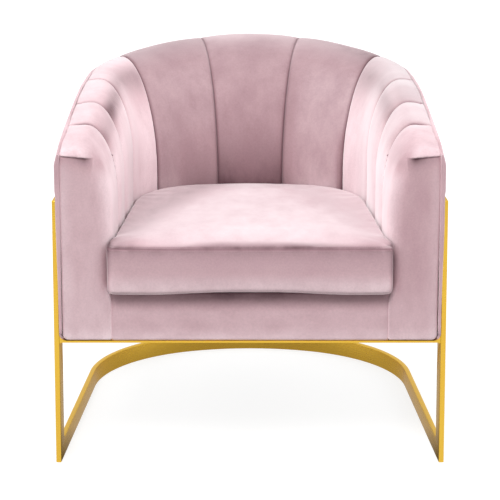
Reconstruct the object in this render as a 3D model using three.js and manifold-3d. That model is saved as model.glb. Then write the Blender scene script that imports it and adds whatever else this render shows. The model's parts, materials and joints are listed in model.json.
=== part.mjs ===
// Scallop-back tub chair in velvet on a gilt flat-bar frame.
// Millimetres, +Z up. The chair faces -Y and is the same left and right of X = 0.
// The pieces are made with the front plane of the frame at Y = 0. The last group then moves
// the chair so that its origin lies on the floor under the middle of its outline.
//
// The tub is a wall between two plan curves: the barrel outline that the steel hoop follows,
// and the tighter outline of the seat. A station is a vertical plane that joins one point of
// each curve, and most pieces of the tub are lofts of one section through a run of stations.

import * as THREE from 'three';
import { mergeVertices } from 'three/addons/utils/BufferGeometryUtils.js';
import Module from 'manifold-3d';

const wasm = await Module();
wasm.setup();

// Fits
const clearance = 0.3;
const boreClearance = 0.4;
const cutOverrun = 2;
const weldTolerance = 0.0001;

// Barrel outline: the outer face of the steel frame, seen from above
const overallWidth = 762;
const frameDepth = 778;
const frameTaperDegrees = 4.8;
const frameCornerShare = 0.8058;
const frameBackShare = 1.0919;

// Gilt steel frame
const barThickness = 10;
const hoopHeight = 36;
const uprightDepth = 45;
const uprightHeight = 530;
const bandHeight = 38;
const plateCornerRadius = 12;
const crossbarThickness = 4;
const crossbarDepth = 40;
const crossbarLowerFillet = 4;

// Seat outline: the visible face of the channels at seat level, seen from above.
// The walls of the tub are this thick at the arm fronts and at the middle of the back.
const armThickness = 113;
const backThickness = 277;
const seatHalfWidth = overallWidth / 2 - armThickness;
const seatDepth = frameDepth - backThickness;
const seatTaperDegrees = 5.7;
const seatCornerShare = 0.5373;
const seatBackShare = 2.5784;

// Heights of the tub
const deckHeight = 346;
const frontPanelHeight = 96;
const tubUnderside = deckHeight - frontPanelHeight;
const armFrontHeight = 622;
const backHeight = 712;

// The top edge climbs fast along the arms and slowly round the back.
// Places are shares of the way from the arm front to the middle of the back.
const edgePlaceShares = [0, 0.05, 0.155, 0.32, 0.41, 0.62, 1];
const edgeRiseShares = [0, 0.21, 0.433, 0.7, 0.733, 0.755, 1];

// Roll of the wall, from the crest down to where the inner face is upright
const crestInset = 38;
const crestRise = 5;
const armRollShare = 0.5073;
const armRollDrop = (armFrontHeight - deckHeight) * armRollShare;
const armRollThickness = 101;
const rollGrowthShare = 0.6055;
const rollGrowth = (rollGrowthShare * (backHeight - deckHeight)) / backThickness;
const rollSineShares = [0.35, 0.6, 0.8, 0.93, 1];
const rollBackSineShares = [1, 0.85, 0.6, 0.3];

// Eleven channels: the places of the five seams left of the middle channel
const outerSeamShares = [0.118, 0.236, 0.4065, 0.6614, 0.8849];
const innerSeamShares = [0.183, 0.324, 0.507, 0.697, 0.901];
const leftChannelSteps = [2, 2, 3, 6, 5];
const middleChannelSteps = 6;
const channelPadding = 20;
const channelCrease = 8;
const channelEdgeRadius = 5;
const creasePower = 4;
const creaseLineShare = 0.07;

// Covers
const coverThickness = 3;
const hemRadius = 14;
const hemWidth = 20;
const hemArcSteps = 4;
const facingDepth = 8;
const facingRoundMargin = 3.2;
const facingRoundDepth = 1.5;
const facingRoundShare = 0.25;
const facingCornerRadius = 11;
const dustCoverThickness = 1;
const dustCoverInset = 20;

// Timber
const outerPanelThickness = 4;
const innerPanelThickness = 4;
const baseBoardThickness = 18;
const baseBoardOuterInset = 17;
const railThickness = 22;
const postThickness = 30;
const ribThickness = 18;
const ribOuterInset = 6;
const topBoardThickness = 16;
const topBoardRollShare = 0.1;
const frontRailThickness = 25;
const cornerBlockLeg = 70;
const cornerBlockThickness = 20;
const cornerBlockDrop = 8;

// Springs and deck
const deckPadThickness = 10.5;
const springWire = 3.4;
const springSpacingShare = 0.1829;
const springCount = 4;
const springHalfWidth = 21;
const springLoops = 10;
const springStepsPerLoop = 6;
const springSides = 5;
const springBearing = 12;
const clipStripThickness = 1.2;
const clipStripWidth = 14;
const clipStripOverhang = 24;
const springSpacing = 2 * seatHalfWidth * springSpacingShare;
const deckBottom = deckHeight - deckPadThickness;
const stripTop = deckBottom - clearance;
const stripBottom = stripTop - clipStripThickness;
const railTop = stripBottom - springWire - 2 * clearance;

// Fasteners
const boltRadius = 3;
const boltHeadRadius = 6;
const boltHeadHeight = 3.5;
const boltLowRise = 46;
const boltHighDrop = 62;
const boltBite = 7;
const counterboreDepth = 24;
const screwRadius = 2.5;
const screwHeadRadius = 5;
const screwHeadHeight = 2.5;
const screwLength = 38;
const screwEndInset = 33;
const screwInnerShare = 0.383;
const fastenerSides = 12;

// Loose seat cushion
const cushionSideGap = 2;
const cushionOverhang = 25;
const cushionFrontBow = 2;
const cushionEar = 8;
const cushionEarDepth = 9;
const cushionCornerRadius = 12;
const cushionCornerSteps = 4;
const cushionFrontSteps = 6;
const cushionCrownHeight = 112;
const cushionCoverThickness = 3;
const cushionCoreGap = 0.7;
const zipHeight = 12;
const zipLength = 180;
const zipTapeThickness = 2;
const zipSlotDepth = 16;
// Each level: share of the outline's size, then share of the cushion's height
const sideDrawLevelShares = [0.992, 0.45];
const cushionLevelShares = [
  [0.5, 0], [0.93, 0], [0.985, 0.04], [1, 0.14], sideDrawLevelShares, [1, 0.75],
  [0.99, 0.83], [0.96, 0.875], [0.86, 0.93], [0.62, 0.98], [0.3, 1],
];

// Finishes
const velvet = { color: 0xdcbcc4, roughness: 0.78, metalness: 0 };
const gilt = { color: 0xd9ae48, roughness: 0.26, metalness: 1 };
const timber = { color: 0xc9a878, roughness: 0.8, metalness: 0 };
const hardboard = { color: 0x8a6444, roughness: 0.85, metalness: 0 };
const springSteel = { color: 0x6f7276, roughness: 0.45, metalness: 1 };
const zincSteel = { color: 0xb9bcc0, roughness: 0.4, metalness: 1 };
const felt = { color: 0xe6e2da, roughness: 0.95, metalness: 0 };
const foam = { color: 0xf0e6c8, roughness: 0.9, metalness: 0 };
const blackCloth = { color: 0x1c1c1e, roughness: 0.95, metalness: 0 };
const zipTape = { color: 0xc6aab2, roughness: 0.8, metalness: 0 };

const chair = new THREE.Group();

function addPiece(name, geometry, finish) {
  geometry.computeVertexNormals();
  const mesh = new THREE.Mesh(geometry, new THREE.MeshStandardMaterial(finish));
  mesh.name = name;
  chair.add(mesh);
}

// Solids from rings of points

function signedVolume(positions, triangles) {
  let volume = 0;
  const corners = [new THREE.Vector3(), new THREE.Vector3(), new THREE.Vector3()];
  for (let i = 0; i < triangles.length; i += 3) {
    corners.forEach((corner, k) => corner.fromArray(positions, triangles[i + k] * 3));
    volume += corners[0].dot(corners[1].cross(corners[2]));
  }
  return volume;
}

function solidFrom(positions, triangles) {
  if (signedVolume(positions, triangles) < 0) {
    triangles.reverse();
  }
  const geometry = new THREE.BufferGeometry();
  geometry.setAttribute('position', new THREE.Float32BufferAttribute(positions, 3));
  geometry.setIndex(triangles);
  return geometry;
}

// Triangles that fill a flat outline, all turning the way the outline turns
function capTriangles(outline) {
  const turn = Math.sign(THREE.ShapeUtils.area(outline));
  return THREE.ShapeUtils.triangulateShape(outline, []).map((corners) => {
    const own = Math.sign(THREE.ShapeUtils.area(corners.map((k) => outline[k])));
    return own === turn ? corners : [corners[0], corners[2], corners[1]];
  });
}

// A loft through sections. Each section has a flat outline and a way to place it in space.
// With a hub, an end is closed by a fan from its middle, which suits round and straight outlines.
function loft(sections, hub = false) {
  const positions = [];
  const triangles = [];
  const count = sections[0].outline.length;
  for (const section of sections) {
    for (const point of section.outline) {
      positions.push(...section.place(point).toArray());
    }
  }
  // A face's diagonal starts from the ring nearer the front, so that both halves are alike
  const ringDepth = (ring) => positions[ring * count * 3 + 1];
  for (let ring = 0; ring < sections.length - 1; ring += 1) {
    const runsBack = ringDepth(ring) <= ringDepth(ring + 1);
    for (let i = 0; i < count; i += 1) {
      const a = ring * count + i;
      const b = ring * count + ((i + 1) % count);
      if (runsBack) {
        triangles.push(a, b, b + count, a, b + count, a + count);
      } else {
        triangles.push(a, b, a + count, b, b + count, a + count);
      }
    }
  }
  const closeEnd = (section, first, turned) => {
    const add = (a, b, c) => triangles.push(first + a, first + (turned ? c : b), first + (turned ? b : c));
    if (!hub) {
      capTriangles(section.outline).forEach((corners) => add(...corners));
      return;
    }
    const middle = new THREE.Vector2();
    section.outline.forEach((point) => middle.addScaledVector(point, 1 / count));
    const centre = positions.length / 3 - first;
    positions.push(...section.place(middle).toArray());
    section.outline.forEach((point, i) => add(i, (i + 1) % count, centre));
  };
  closeEnd(sections[0], 0, true);
  closeEnd(sections[sections.length - 1], (sections.length - 1) * count, false);
  return solidFrom(positions, triangles);
}

function mirrored(geometry) {
  const positions = Array.from(geometry.attributes.position.array);
  for (let i = 0; i < positions.length; i += 3) {
    positions[i] = -positions[i];
  }
  return solidFrom(positions, Array.from(geometry.index.array));
}

// Booleans

function toManifold(geometry) {
  const bare = geometry.clone();
  bare.deleteAttribute('normal');
  bare.deleteAttribute('uv');
  const merged = mergeVertices(bare, weldTolerance);
  return new wasm.Manifold(new wasm.Mesh({
    numProp: 3,
    vertProperties: new Float32Array(merged.attributes.position.array),
    triVerts: new Uint32Array(merged.index.array),
  }));
}

function cut(geometry, tools) {
  let solid = toManifold(geometry);
  for (const tool of tools) {
    solid = solid.subtract(toManifold(tool));
  }
  const mesh = solid.getMesh();
  return solidFrom(Array.from(mesh.vertProperties), Array.from(mesh.triVerts));
}

function cylinderAlong(start, direction, length, radius) {
  const geometry = new THREE.CylinderGeometry(radius, radius, length, fastenerSides);
  geometry.translate(0, length / 2, 0);
  const turn = new THREE.Quaternion().setFromUnitVectors(new THREE.Vector3(0, 1, 0), direction);
  geometry.applyQuaternion(turn);
  geometry.translate(start.x, start.y, start.z);
  return geometry;
}

// Plan curves: a tapered side, a tight corner and a wide back, then the same mirrored

class PlanCurve {
  constructor({ halfWidth, taperDegrees, cornerRadius, backRadius, depth }) {
    const taper = THREE.MathUtils.degToRad(taperDegrees);
    this.along = new THREE.Vector2(Math.sin(taper), Math.cos(taper));
    this.inward = new THREE.Vector2(Math.cos(taper), -Math.sin(taper));
    this.start = new THREE.Vector2(-halfWidth, 0);
    this.cornerRadius = cornerRadius;
    this.backRadius = backRadius;
    this.backCentre = new THREE.Vector2(0, depth - backRadius);
    const first = this.start.clone().addScaledVector(this.inward, cornerRadius);
    const offset = first.clone().sub(this.backCentre);
    const reach = backRadius - cornerRadius;
    const middle = offset.dot(this.along);
    this.sideLength = Math.sqrt(middle ** 2 - offset.lengthSq() + reach ** 2) - middle;
    this.cornerCentre = first.addScaledVector(this.along, this.sideLength);
    this.cornerStartAngle = Math.PI - taper;
    this.cornerEndAngle = this.cornerCentre.clone().sub(this.backCentre).angle();
    this.cornerLength = cornerRadius * (this.cornerStartAngle - this.cornerEndAngle);
    this.backLength = backRadius * (this.cornerEndAngle - Math.PI / 2);
    this.halfLength = this.sideLength + this.cornerLength + this.backLength;
  }

  // Point and inward direction: share 0 is the left front, 1 the middle of the back,
  // and 2 the right front
  at(share) {
    const run = (share <= 1 ? share : 2 - share) * this.halfLength;
    const side = share <= 1 ? 1 : -1;
    let point = this.start.clone().addScaledVector(this.along, run);
    let inward = this.inward.clone();
    if (run > this.sideLength) {
      const past = run - this.sideLength;
      const onBack = past > this.cornerLength;
      const centre = onBack ? this.backCentre : this.cornerCentre;
      const radius = onBack ? this.backRadius : this.cornerRadius;
      const angle = onBack
        ? this.cornerEndAngle - (past - this.cornerLength) / this.backRadius
        : this.cornerStartAngle - past / this.cornerRadius;
      const outward = new THREE.Vector2(Math.cos(angle), Math.sin(angle));
      point = centre.clone().addScaledVector(outward, radius);
      inward = outward.negate();
    }
    point.x *= side;
    inward.x *= side;
    return { point, inward };
  }

  // How far back the curve lies at a distance from the middle plane
  depthAt(x) {
    const onBack = Math.abs(x) < -this.backRadius * Math.cos(this.cornerEndAngle);
    const centre = onBack ? this.backCentre : this.cornerCentre;
    const radius = onBack ? this.backRadius : this.cornerRadius;
    return centre.y + Math.sqrt(radius ** 2 - (Math.abs(x) + centre.x) ** 2);
  }
}

const framePlan = new PlanCurve({
  halfWidth: overallWidth / 2,
  taperDegrees: frameTaperDegrees,
  cornerRadius: (overallWidth / 2) * frameCornerShare,
  backRadius: (overallWidth / 2) * frameBackShare,
  depth: frameDepth,
});
const seatPlan = new PlanCurve({
  halfWidth: seatHalfWidth,
  taperDegrees: seatTaperDegrees,
  cornerRadius: seatHalfWidth * seatCornerShare,
  backRadius: seatHalfWidth * seatBackShare,
  depth: seatDepth,
});

const coverInset = barThickness + clearance;
const wallInset = coverInset + coverThickness + clearance;

// Smooth curve through a table of shares, with its slopes taken from the neighbours
function smoothShare(places, values, place) {
  const last = places.length - 1;
  const slope = (i) => {
    const low = Math.max(i - 1, 0);
    const high = Math.min(i + 1, last);
    return (values[high] - values[low]) / (places[high] - places[low]);
  };
  let i = 0;
  while (i < last - 1 && place > places[i + 1]) {
    i += 1;
  }
  const span = places[i + 1] - places[i];
  const t = (place - places[i]) / span;
  const square = t * t;
  const cube = square * t;
  return values[i] * (2 * cube - 3 * square + 1)
    + values[i + 1] * (3 * square - 2 * cube)
    + slope(i) * span * (cube - 2 * square + t)
    + slope(i + 1) * span * (cube - square);
}

function edgeHeight(outerShare) {
  const place = outerShare <= 1 ? outerShare : 2 - outerShare;
  const rise = smoothShare(edgePlaceShares, edgeRiseShares, place);
  return armFrontHeight + (backHeight - armFrontHeight) * rise;
}

// A station from its two plan points and the height of its top edge
function stationBetween(outer, inner, edge) {
  const direction = inner.clone().sub(outer).normalize();
  const thickness = inner.distanceTo(outer);
  const crest = edge + crestRise;
  const rollDrop = armRollDrop + (thickness - armRollThickness) * rollGrowth;
  const place = (point) => new THREE.Vector3(
    outer.x + direction.x * point.x,
    outer.y + direction.y * point.x,
    point.y,
  );
  return { outer, inner, direction, thickness, edge, crest, rollDrop, place };
}

function stationAt(outerShare, innerShare) {
  const frame = framePlan.at(outerShare);
  const outer = frame.point.clone().addScaledVector(frame.inward, wallInset);
  const station = stationBetween(outer, seatPlan.at(innerShare).point, edgeHeight(outerShare));
  return { ...station, frame, outerShare, innerShare };
}

function mix(a, b, t) {
  return a + (b - a) * t;
}

function stationMixed(first, second, t) {
  return stationBetween(
    first.outer.clone().lerp(second.outer, t),
    first.inner.clone().lerp(second.inner, t),
    mix(first.edge, second.edge, t),
  );
}

// Channel edges from the arm front to the middle, and the stations inside each channel
const facingOuterShare = facingDepth / framePlan.halfLength;
const facingInnerShare = facingDepth / seatPlan.halfLength;
const mirrorShares = (shares) => [...shares, ...shares.map((share) => 2 - share).reverse()];
const outerEdges = mirrorShares([facingOuterShare, ...outerSeamShares]);
const innerEdges = mirrorShares([facingInnerShare, ...innerSeamShares]);
const channelSteps = [...leftChannelSteps, middleChannelSteps, ...leftChannelSteps.toReversed()];
const middleChannel = leftChannelSteps.length;

const channelStations = channelSteps.map((steps, channel) => {
  const stations = [];
  for (let step = 0; step <= steps; step += 1) {
    const t = step / steps;
    stations.push(stationAt(
      mix(outerEdges[channel], outerEdges[channel + 1], t),
      mix(innerEdges[channel], innerEdges[channel + 1], t),
    ));
  }
  return stations;
});

const frontStation = stationAt(0, 0);
const wallStations = channelStations.flatMap((stations, i) => (i ? stations.slice(1) : stations));
const allStations = [frontStation, ...wallStations, stationAt(2, 2)];

// A station between two of the wall's own, so that what stands there fits the wall's faces
function onWall(outerShare) {
  const after = allStations.findIndex((station) => station.outerShare > outerShare);
  const first = allStations[after - 1];
  const second = allStations[after];
  const t = (outerShare - first.outerShare) / (second.outerShare - first.outerShare);
  return stationMixed(first, second, t);
}

// Sections in a station's plane: x runs from the outer face to the seat, y is the height

const point2 = (x, y) => new THREE.Vector2(x, y);

function rollPoint(station, sine, depth) {
  const halfWidth = station.thickness - crestInset - depth;
  const drop = station.rollDrop - depth;
  const height = station.crest - station.rollDrop + drop * Math.sqrt(1 - sine ** 2);
  return point2(crestInset + halfWidth * sine, height);
}

function rectangle(left, right, low, high) {
  return [point2(left, low), point2(right, low), point2(right, high), point2(left, high)];
}

function wallSolid(stations, outlineOf) {
  return loft(stations.map((station) => ({ outline: outlineOf(station), place: station.place })));
}

// A piece that follows the barrel outline at a set distance inside the frame's outer face
function ringSolid(stations, outlineOf) {
  return loft(stations.map((station) => ({
    outline: outlineOf(station),
    place: (point) => new THREE.Vector3(
      station.frame.point.x + station.frame.inward.x * point.x,
      station.frame.point.y + station.frame.inward.y * point.x,
      point.y,
    ),
  })));
}

// Gilt steel frame: two cut plates for the uprights, a floor hoop, a band and a crossbar

const plateReach = uprightDepth + plateCornerRadius;

function uprightPlate() {
  const bandLow = uprightHeight - bandHeight;
  const plate = new THREE.Shape();
  plate.moveTo(0, 0);
  plate.lineTo(plateReach, 0);
  plate.lineTo(plateReach, hoopHeight);
  plate.absarc(plateReach, hoopHeight + plateCornerRadius, plateCornerRadius, -Math.PI / 2, -Math.PI, true);
  plate.lineTo(uprightDepth, bandLow - plateCornerRadius);
  plate.absarc(plateReach, bandLow - plateCornerRadius, plateCornerRadius, Math.PI, Math.PI / 2, true);
  plate.lineTo(plateReach, uprightHeight);
  plate.lineTo(0, uprightHeight);
  const geometry = new THREE.ExtrudeGeometry(plate, {
    depth: barThickness,
    bevelEnabled: false,
    curveSegments: hemArcSteps,
  });
  const { along, inward, start } = framePlan;
  const basis = new THREE.Matrix4().makeBasis(
    new THREE.Vector3(along.x, along.y, 0),
    new THREE.Vector3(0, 0, 1),
    new THREE.Vector3(inward.x, inward.y, 0),
  );
  geometry.applyMatrix4(basis.setPosition(start.x, start.y, 0));
  return geometry;
}

const plateShare = (plateReach + clearance) / framePlan.halfLength;
const hoopStations = [
  stationAt(plateShare, plateShare),
  ...allStations.filter(({ outerShare }) => outerShare > plateShare && outerShare < 2 - plateShare),
  stationAt(2 - plateShare, 2 - plateShare),
];

const bandBottom = uprightHeight - bandHeight;
addPiece('base_hoop', ringSolid(hoopStations, () => rectangle(0, barThickness, 0, hoopHeight)), gilt);
addPiece(
  'upper_band',
  ringSolid(hoopStations, () => rectangle(0, barThickness, bandBottom, uprightHeight)),
  gilt,
);

// Front crossbar, with fillets that fill the tub's round lower corners
function crossbarOutline(halfWidth) {
  const top = tubUnderside - clearance;
  const bottom = top - crossbarThickness;
  const upperFillet = hemRadius;
  const leftEnd = [];
  for (let i = 0; i <= hemArcSteps; i += 1) {
    const angle = (Math.PI / 2) * (i / hemArcSteps);
    leftEnd.push(point2(
      -halfWidth + upperFillet * (1 - Math.sin(angle)),
      top + upperFillet * (1 - Math.cos(angle)),
    ));
  }
  for (let i = 0; i <= hemArcSteps; i += 1) {
    const angle = (Math.PI / 2) * (i / hemArcSteps);
    leftEnd.push(point2(
      -halfWidth + crossbarLowerFillet * (1 - Math.cos(angle)),
      bottom - crossbarLowerFillet * (1 - Math.sin(angle)),
    ));
  }
  const rightEnd = leftEnd.map((point) => point2(-point.x, point.y)).reverse();
  return [...leftEnd, ...rightEnd];
}

function crossbarAt(depth) {
  const { start, inward, along } = framePlan;
  const insideFace = -start.x - (barThickness + clearance) / inward.x;
  const halfWidth = insideFace - (depth * along.x) / along.y;
  return {
    outline: crossbarOutline(halfWidth),
    place: (point) => new THREE.Vector3(point.x, depth, point.y),
  };
}

// Screws and bolts

function fastener(radius, length, headRadius, headHeight) {
  const chamfer = headHeight / 3;
  const profile = [
    point2(0, 0),
    point2(radius, 0),
    point2(radius, length),
    point2(headRadius, length),
    point2(headRadius, length + headHeight - chamfer),
    point2(headRadius - chamfer, length + headHeight),
    point2(0, length + headHeight),
  ];
  return new THREE.LatheGeometry(profile, fastenerSides);
}

function placedFastener(geometry, tip, direction) {
  const turn = new THREE.Quaternion().setFromUnitVectors(new THREE.Vector3(0, 1, 0), direction);
  geometry.applyQuaternion(turn);
  geometry.translate(tip.x, tip.y, tip.z);
  return geometry;
}

const crossbarBottom = tubUnderside - clearance - crossbarThickness;
const screwDown = new THREE.Vector3(0, 0, -1);
const frontRailFront = facingDepth + clearance;
const screwY = frontRailFront + frontRailThickness / 2;
const screwOuterPlace = seatHalfWidth - screwEndInset;
const screwPlaces = [-1, -screwInnerShare, screwInnerShare, 1].map((share) => share * screwOuterPlace);
const screwTipHeight = crossbarBottom - clearance + screwLength;
const screwTips = screwPlaces.map((x) => new THREE.Vector3(x, screwY, screwTipHeight));
const screwHoles = screwTips.map((tip) => cylinderAlong(
  tip.clone().addScaledVector(screwDown, -boreClearance),
  screwDown,
  screwLength + cutOverrun + boreClearance,
  screwRadius + boreClearance,
));

addPiece('front_crossbar', cut(loft([crossbarAt(0), crossbarAt(crossbarDepth)]), screwHoles), gilt);
screwTips.forEach((tip, i) => {
  const screw = fastener(screwRadius, screwLength, screwHeadRadius, screwHeadHeight);
  addPiece(`crossbar_screw_${i + 1}`, placedFastener(screw, tip, screwDown), zincSteel);
});

// Bolts run from a counterbore in the arm post into a blind hole in the upright
const boltRun = frontRailFront + postThickness / 2;
const boltOutward = new THREE.Vector3(-framePlan.inward.x, -framePlan.inward.y, 0);
const boltHeadSeat = wallInset + outerPanelThickness + counterboreDepth;
const boltTipInset = barThickness - boltBite;

// A point of the left side, by its run from the front and its inset from the outer face
function sidePoint(run, inset) {
  const { start, along, inward } = framePlan;
  return start.clone().addScaledVector(along, run).addScaledVector(inward, inset);
}

function boltAxisPoint(inset, height) {
  const { x, y } = sidePoint(boltRun, inset);
  return new THREE.Vector3(x, y, height);
}

const boltInward = boltOutward.clone().negate();
const boltHeights = [tubUnderside + boltLowRise, uprightHeight - boltHighDrop];
const boltHoles = boltHeights.map((height) => cylinderAlong(
  boltAxisPoint(boltTipInset - boreClearance, height),
  boltInward,
  boltHeadSeat - boltTipInset + boreClearance + cutOverrun,
  boltRadius + boreClearance,
));
const counterbores = boltHeights.map((height) => cylinderAlong(
  boltAxisPoint(boltHeadSeat, height),
  boltInward,
  armRollThickness,
  boltHeadRadius + boreClearance,
));
boltHeights.forEach((height, i) => {
  const bolt = placedFastener(
    fastener(boltRadius, boltHeadSeat - boltTipInset + clearance, boltHeadRadius, boltHeadHeight),
    boltAxisPoint(boltTipInset, height),
    boltInward,
  );
  const level = i ? 'upper' : 'lower';
  addPiece(`upright_bolt_left_${level}`, bolt, zincSteel);
  addPiece(`upright_bolt_right_${level}`, mirrored(bolt), zincSteel);
});

const leftUpright = cut(uprightPlate(), boltHoles);
addPiece('upright_left', leftUpright, gilt);
addPiece('upright_right', mirrored(leftUpright), gilt);

// Timber frame of the tub

const bothSidesHoles = [...boltHoles, ...boltHoles.map(mirrored)];
const baseBoardBottom = tubUnderside + coverThickness + clearance;
const baseBoardTop = baseBoardBottom + baseBoardThickness;
const framingBottom = baseBoardTop + clearance;
const ribInnerDepth = channelPadding + innerPanelThickness + 2 * clearance;
const railInnerInset = ribInnerDepth - railThickness;

addPiece('base_board', wallSolid(wallStations, (station) => rectangle(
  baseBoardOuterInset,
  station.thickness - railInnerInset,
  baseBoardBottom,
  baseBoardTop,
)), timber);

const topBoardTop = (station) => station.edge - channelPadding - clearance;
const topBoardBottom = (station) => topBoardTop(station) - topBoardThickness;

// A rib fills the wall: straight outside, rolled inside, and flat under the top board, which
// it meets on the last facet of its roll
function ribOutline(station) {
  const top = topBoardBottom(station) - clearance;
  const roll = rollBackSineShares.map((sine) => rollPoint(station, sine, ribInnerDepth));
  const [below, above] = roll.slice(-2);
  const corner = below.clone().lerp(above, (top - below.y) / (above.y - below.y));
  return [
    point2(ribOuterInset, framingBottom),
    point2(station.thickness - ribInnerDepth, framingBottom),
    ...roll.slice(0, -1),
    corner,
    point2(ribOuterInset, top),
  ];
}

function ribAt(outerShare, thickness) {
  const step = thickness / framePlan.halfLength / 2;
  const places = [outerShare - step, outerShare, outerShare + step];
  return wallSolid(places.map(onWall), ribOutline);
}

const postShare = boltRun / framePlan.halfLength;
const leftPost = cut(ribAt(postShare, postThickness), [...boltHoles, ...counterbores]);
addPiece('arm_post_left', leftPost, timber);
addPiece('arm_post_right', mirrored(leftPost), timber);

// Ribs stand at the three rear seams of each side, where the padding is sewn down
const ribNames = ['arm_rib', 'corner_rib', 'back_rib'];
ribNames.forEach((name, i) => {
  const seam = outerSeamShares.length - ribNames.length + i;
  const rib = ribAt(outerSeamShares[seam], ribThickness);
  addPiece(`${name}_left`, rib, timber);
  addPiece(`${name}_right`, mirrored(rib), timber);
});

addPiece('top_board', wallSolid(wallStations, (station) => rectangle(
  ribOuterInset,
  crestInset + (station.thickness - crestInset) * topBoardRollShare,
  topBoardBottom(station),
  topBoardTop(station),
)), timber);

// Seat rails stand on the base board just inside the ribs
const railOutline = (station) => rectangle(
  station.thickness - ribInnerDepth + clearance,
  station.thickness - railInnerInset,
  framingBottom,
  railTop,
);
const cornerChannel = 3;
const sideRailStations = channelStations.slice(0, cornerChannel)
  .flatMap((stations, i) => (i ? stations.slice(1) : stations));
const backRailStations = channelStations.slice(cornerChannel, -cornerChannel)
  .flatMap((stations, i) => (i ? stations.slice(1) : stations));

// The end of a run of stations pulled back by half the clearance, so that two runs can meet
function pulledBack(stations) {
  const count = stations.length;
  const pull = (end, next) => {
    const t = clearance / Math.min(end.inner.distanceTo(next.inner), end.outer.distanceTo(next.outer));
    return { ...stationMixed(end, next, t), outerShare: end.outerShare };
  };
  return [
    pull(stations[0], stations[1]),
    ...stations.slice(1, -1),
    pull(stations[count - 1], stations[count - 2]),
  ];
}

const leftRail = wallSolid(pulledBack(sideRailStations), railOutline);
addPiece('side_rail_left', leftRail, timber);
addPiece('side_rail_right', mirrored(leftRail), timber);
addPiece('rear_rail', wallSolid(pulledBack(backRailStations), railOutline), timber);

// Front rail between the side rails
function seatWidthAt(depth, inset) {
  const { start, along, inward } = seatPlan;
  return -start.x - (depth * along.x) / along.y - inset / inward.x;
}

const frontRailBack = frontRailFront + frontRailThickness;
const railFaceInset = clearance - railInnerInset;
const frontRailPlan = [
  point2(-seatWidthAt(frontRailFront, railFaceInset), frontRailFront),
  point2(seatWidthAt(frontRailFront, railFaceInset), frontRailFront),
  point2(seatWidthAt(frontRailBack, railFaceInset), frontRailBack),
  point2(-seatWidthAt(frontRailBack, railFaceInset), frontRailBack),
];

function prism(plan, low, high, hub = true) {
  return loft([low, high].map((height) => ({
    outline: plan,
    place: (point) => new THREE.Vector3(point.x, point.y, height),
  })), hub);
}

const frontRail = prism(frontRailPlan, tubUnderside + clearance, railTop);
addPiece('front_rail', cut(frontRail, screwHoles), timber);

// Corner blocks brace the front rail and the side rails
const blockFront = frontRailBack + clearance;
const blockTop = railTop - cornerBlockDrop;
const blockOuter = seatWidthAt(blockFront, railFaceInset);
const blockPlan = [
  point2(-blockOuter, blockFront),
  point2(-blockOuter + cornerBlockLeg, blockFront),
  point2(-seatWidthAt(blockFront + cornerBlockLeg, railFaceInset), blockFront + cornerBlockLeg),
];
const leftBlock = prism(blockPlan, blockTop - cornerBlockThickness, blockTop);
addPiece('corner_block_left', leftBlock, timber);
addPiece('corner_block_right', mirrored(leftBlock), timber);

// Panels: the outer one is bent round the ribs, the inner ones carry the channels

const panelBottom = tubUnderside + hemRadius;
const panelShare = (facingDepth + outerPanelThickness) / framePlan.halfLength;
const panelStations = [
  stationAt(panelShare, panelShare),
  ...wallStations.slice(1, -1),
  stationAt(2 - panelShare, 2 - panelShare),
];
addPiece('outer_panel', cut(ringSolid(panelStations, (station) => rectangle(
  wallInset,
  wallInset + outerPanelThickness,
  panelBottom,
  topBoardTop(station),
)), bothSidesHoles), hardboard);

const innerPanelFoot = railTop + clearance;
function innerPanelOutline(station) {
  const front = channelPadding + clearance;
  const back = front + innerPanelThickness;
  const frontArc = rollBackSineShares.map((sine) => rollPoint(station, sine, front));
  const backArc = rollBackSineShares.map((sine) => rollPoint(station, sine, back)).reverse();
  return [
    point2(station.thickness - front, innerPanelFoot),
    ...frontArc,
    ...backArc,
    point2(station.thickness - back, innerPanelFoot),
  ];
}

const leftPanel = wallSolid(pulledBack(sideRailStations), innerPanelOutline);
addPiece('inner_panel_left', leftPanel, hardboard);
addPiece('inner_panel_right', mirrored(leftPanel), hardboard);
addPiece('inner_panel_back', wallSolid(pulledBack(backRailStations), innerPanelOutline), hardboard);

// Springs: zigzag wires over the front and rear rails, held down by a clip strip at each end

class SpringPath extends THREE.Curve {
  constructor(x, startY, endY, height) {
    super();
    Object.assign(this, { x, startY, endY, height });
  }

  getPoint(t) {
    const phase = 2 * Math.PI * springLoops * t;
    return new THREE.Vector3(
      this.x + springHalfWidth * Math.sin(phase),
      mix(this.startY, this.endY, t),
      this.height,
    );
  }
}

const springHeight = railTop + clearance + springWire / 2;
const springSection = new THREE.Shape();
for (let side = 0; side < springSides; side += 1) {
  const angle = (2 * Math.PI * side) / springSides;
  const x = Math.cos(angle) * springWire / 2;
  const y = Math.sin(angle) * springWire / 2;
  if (side) {
    springSection.lineTo(x, y);
  } else {
    springSection.moveTo(x, y);
  }
}

const springStart = frontRailBack - springBearing;
const springEndAt = (x) => (
  seatPlan.depthAt(Math.abs(x) + springHalfWidth) + railInnerInset + springBearing);
for (let i = 0; i < springCount; i += 1) {
  const x = (i - (springCount - 1) / 2) * springSpacing;
  addPiece(`seat_spring_${i + 1}`, new THREE.ExtrudeGeometry(springSection, {
    steps: springLoops * springStepsPerLoop,
    extrudePath: new SpringPath(x, springStart, springEndAt(x), springHeight),
  }), springSteel);
}

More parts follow.
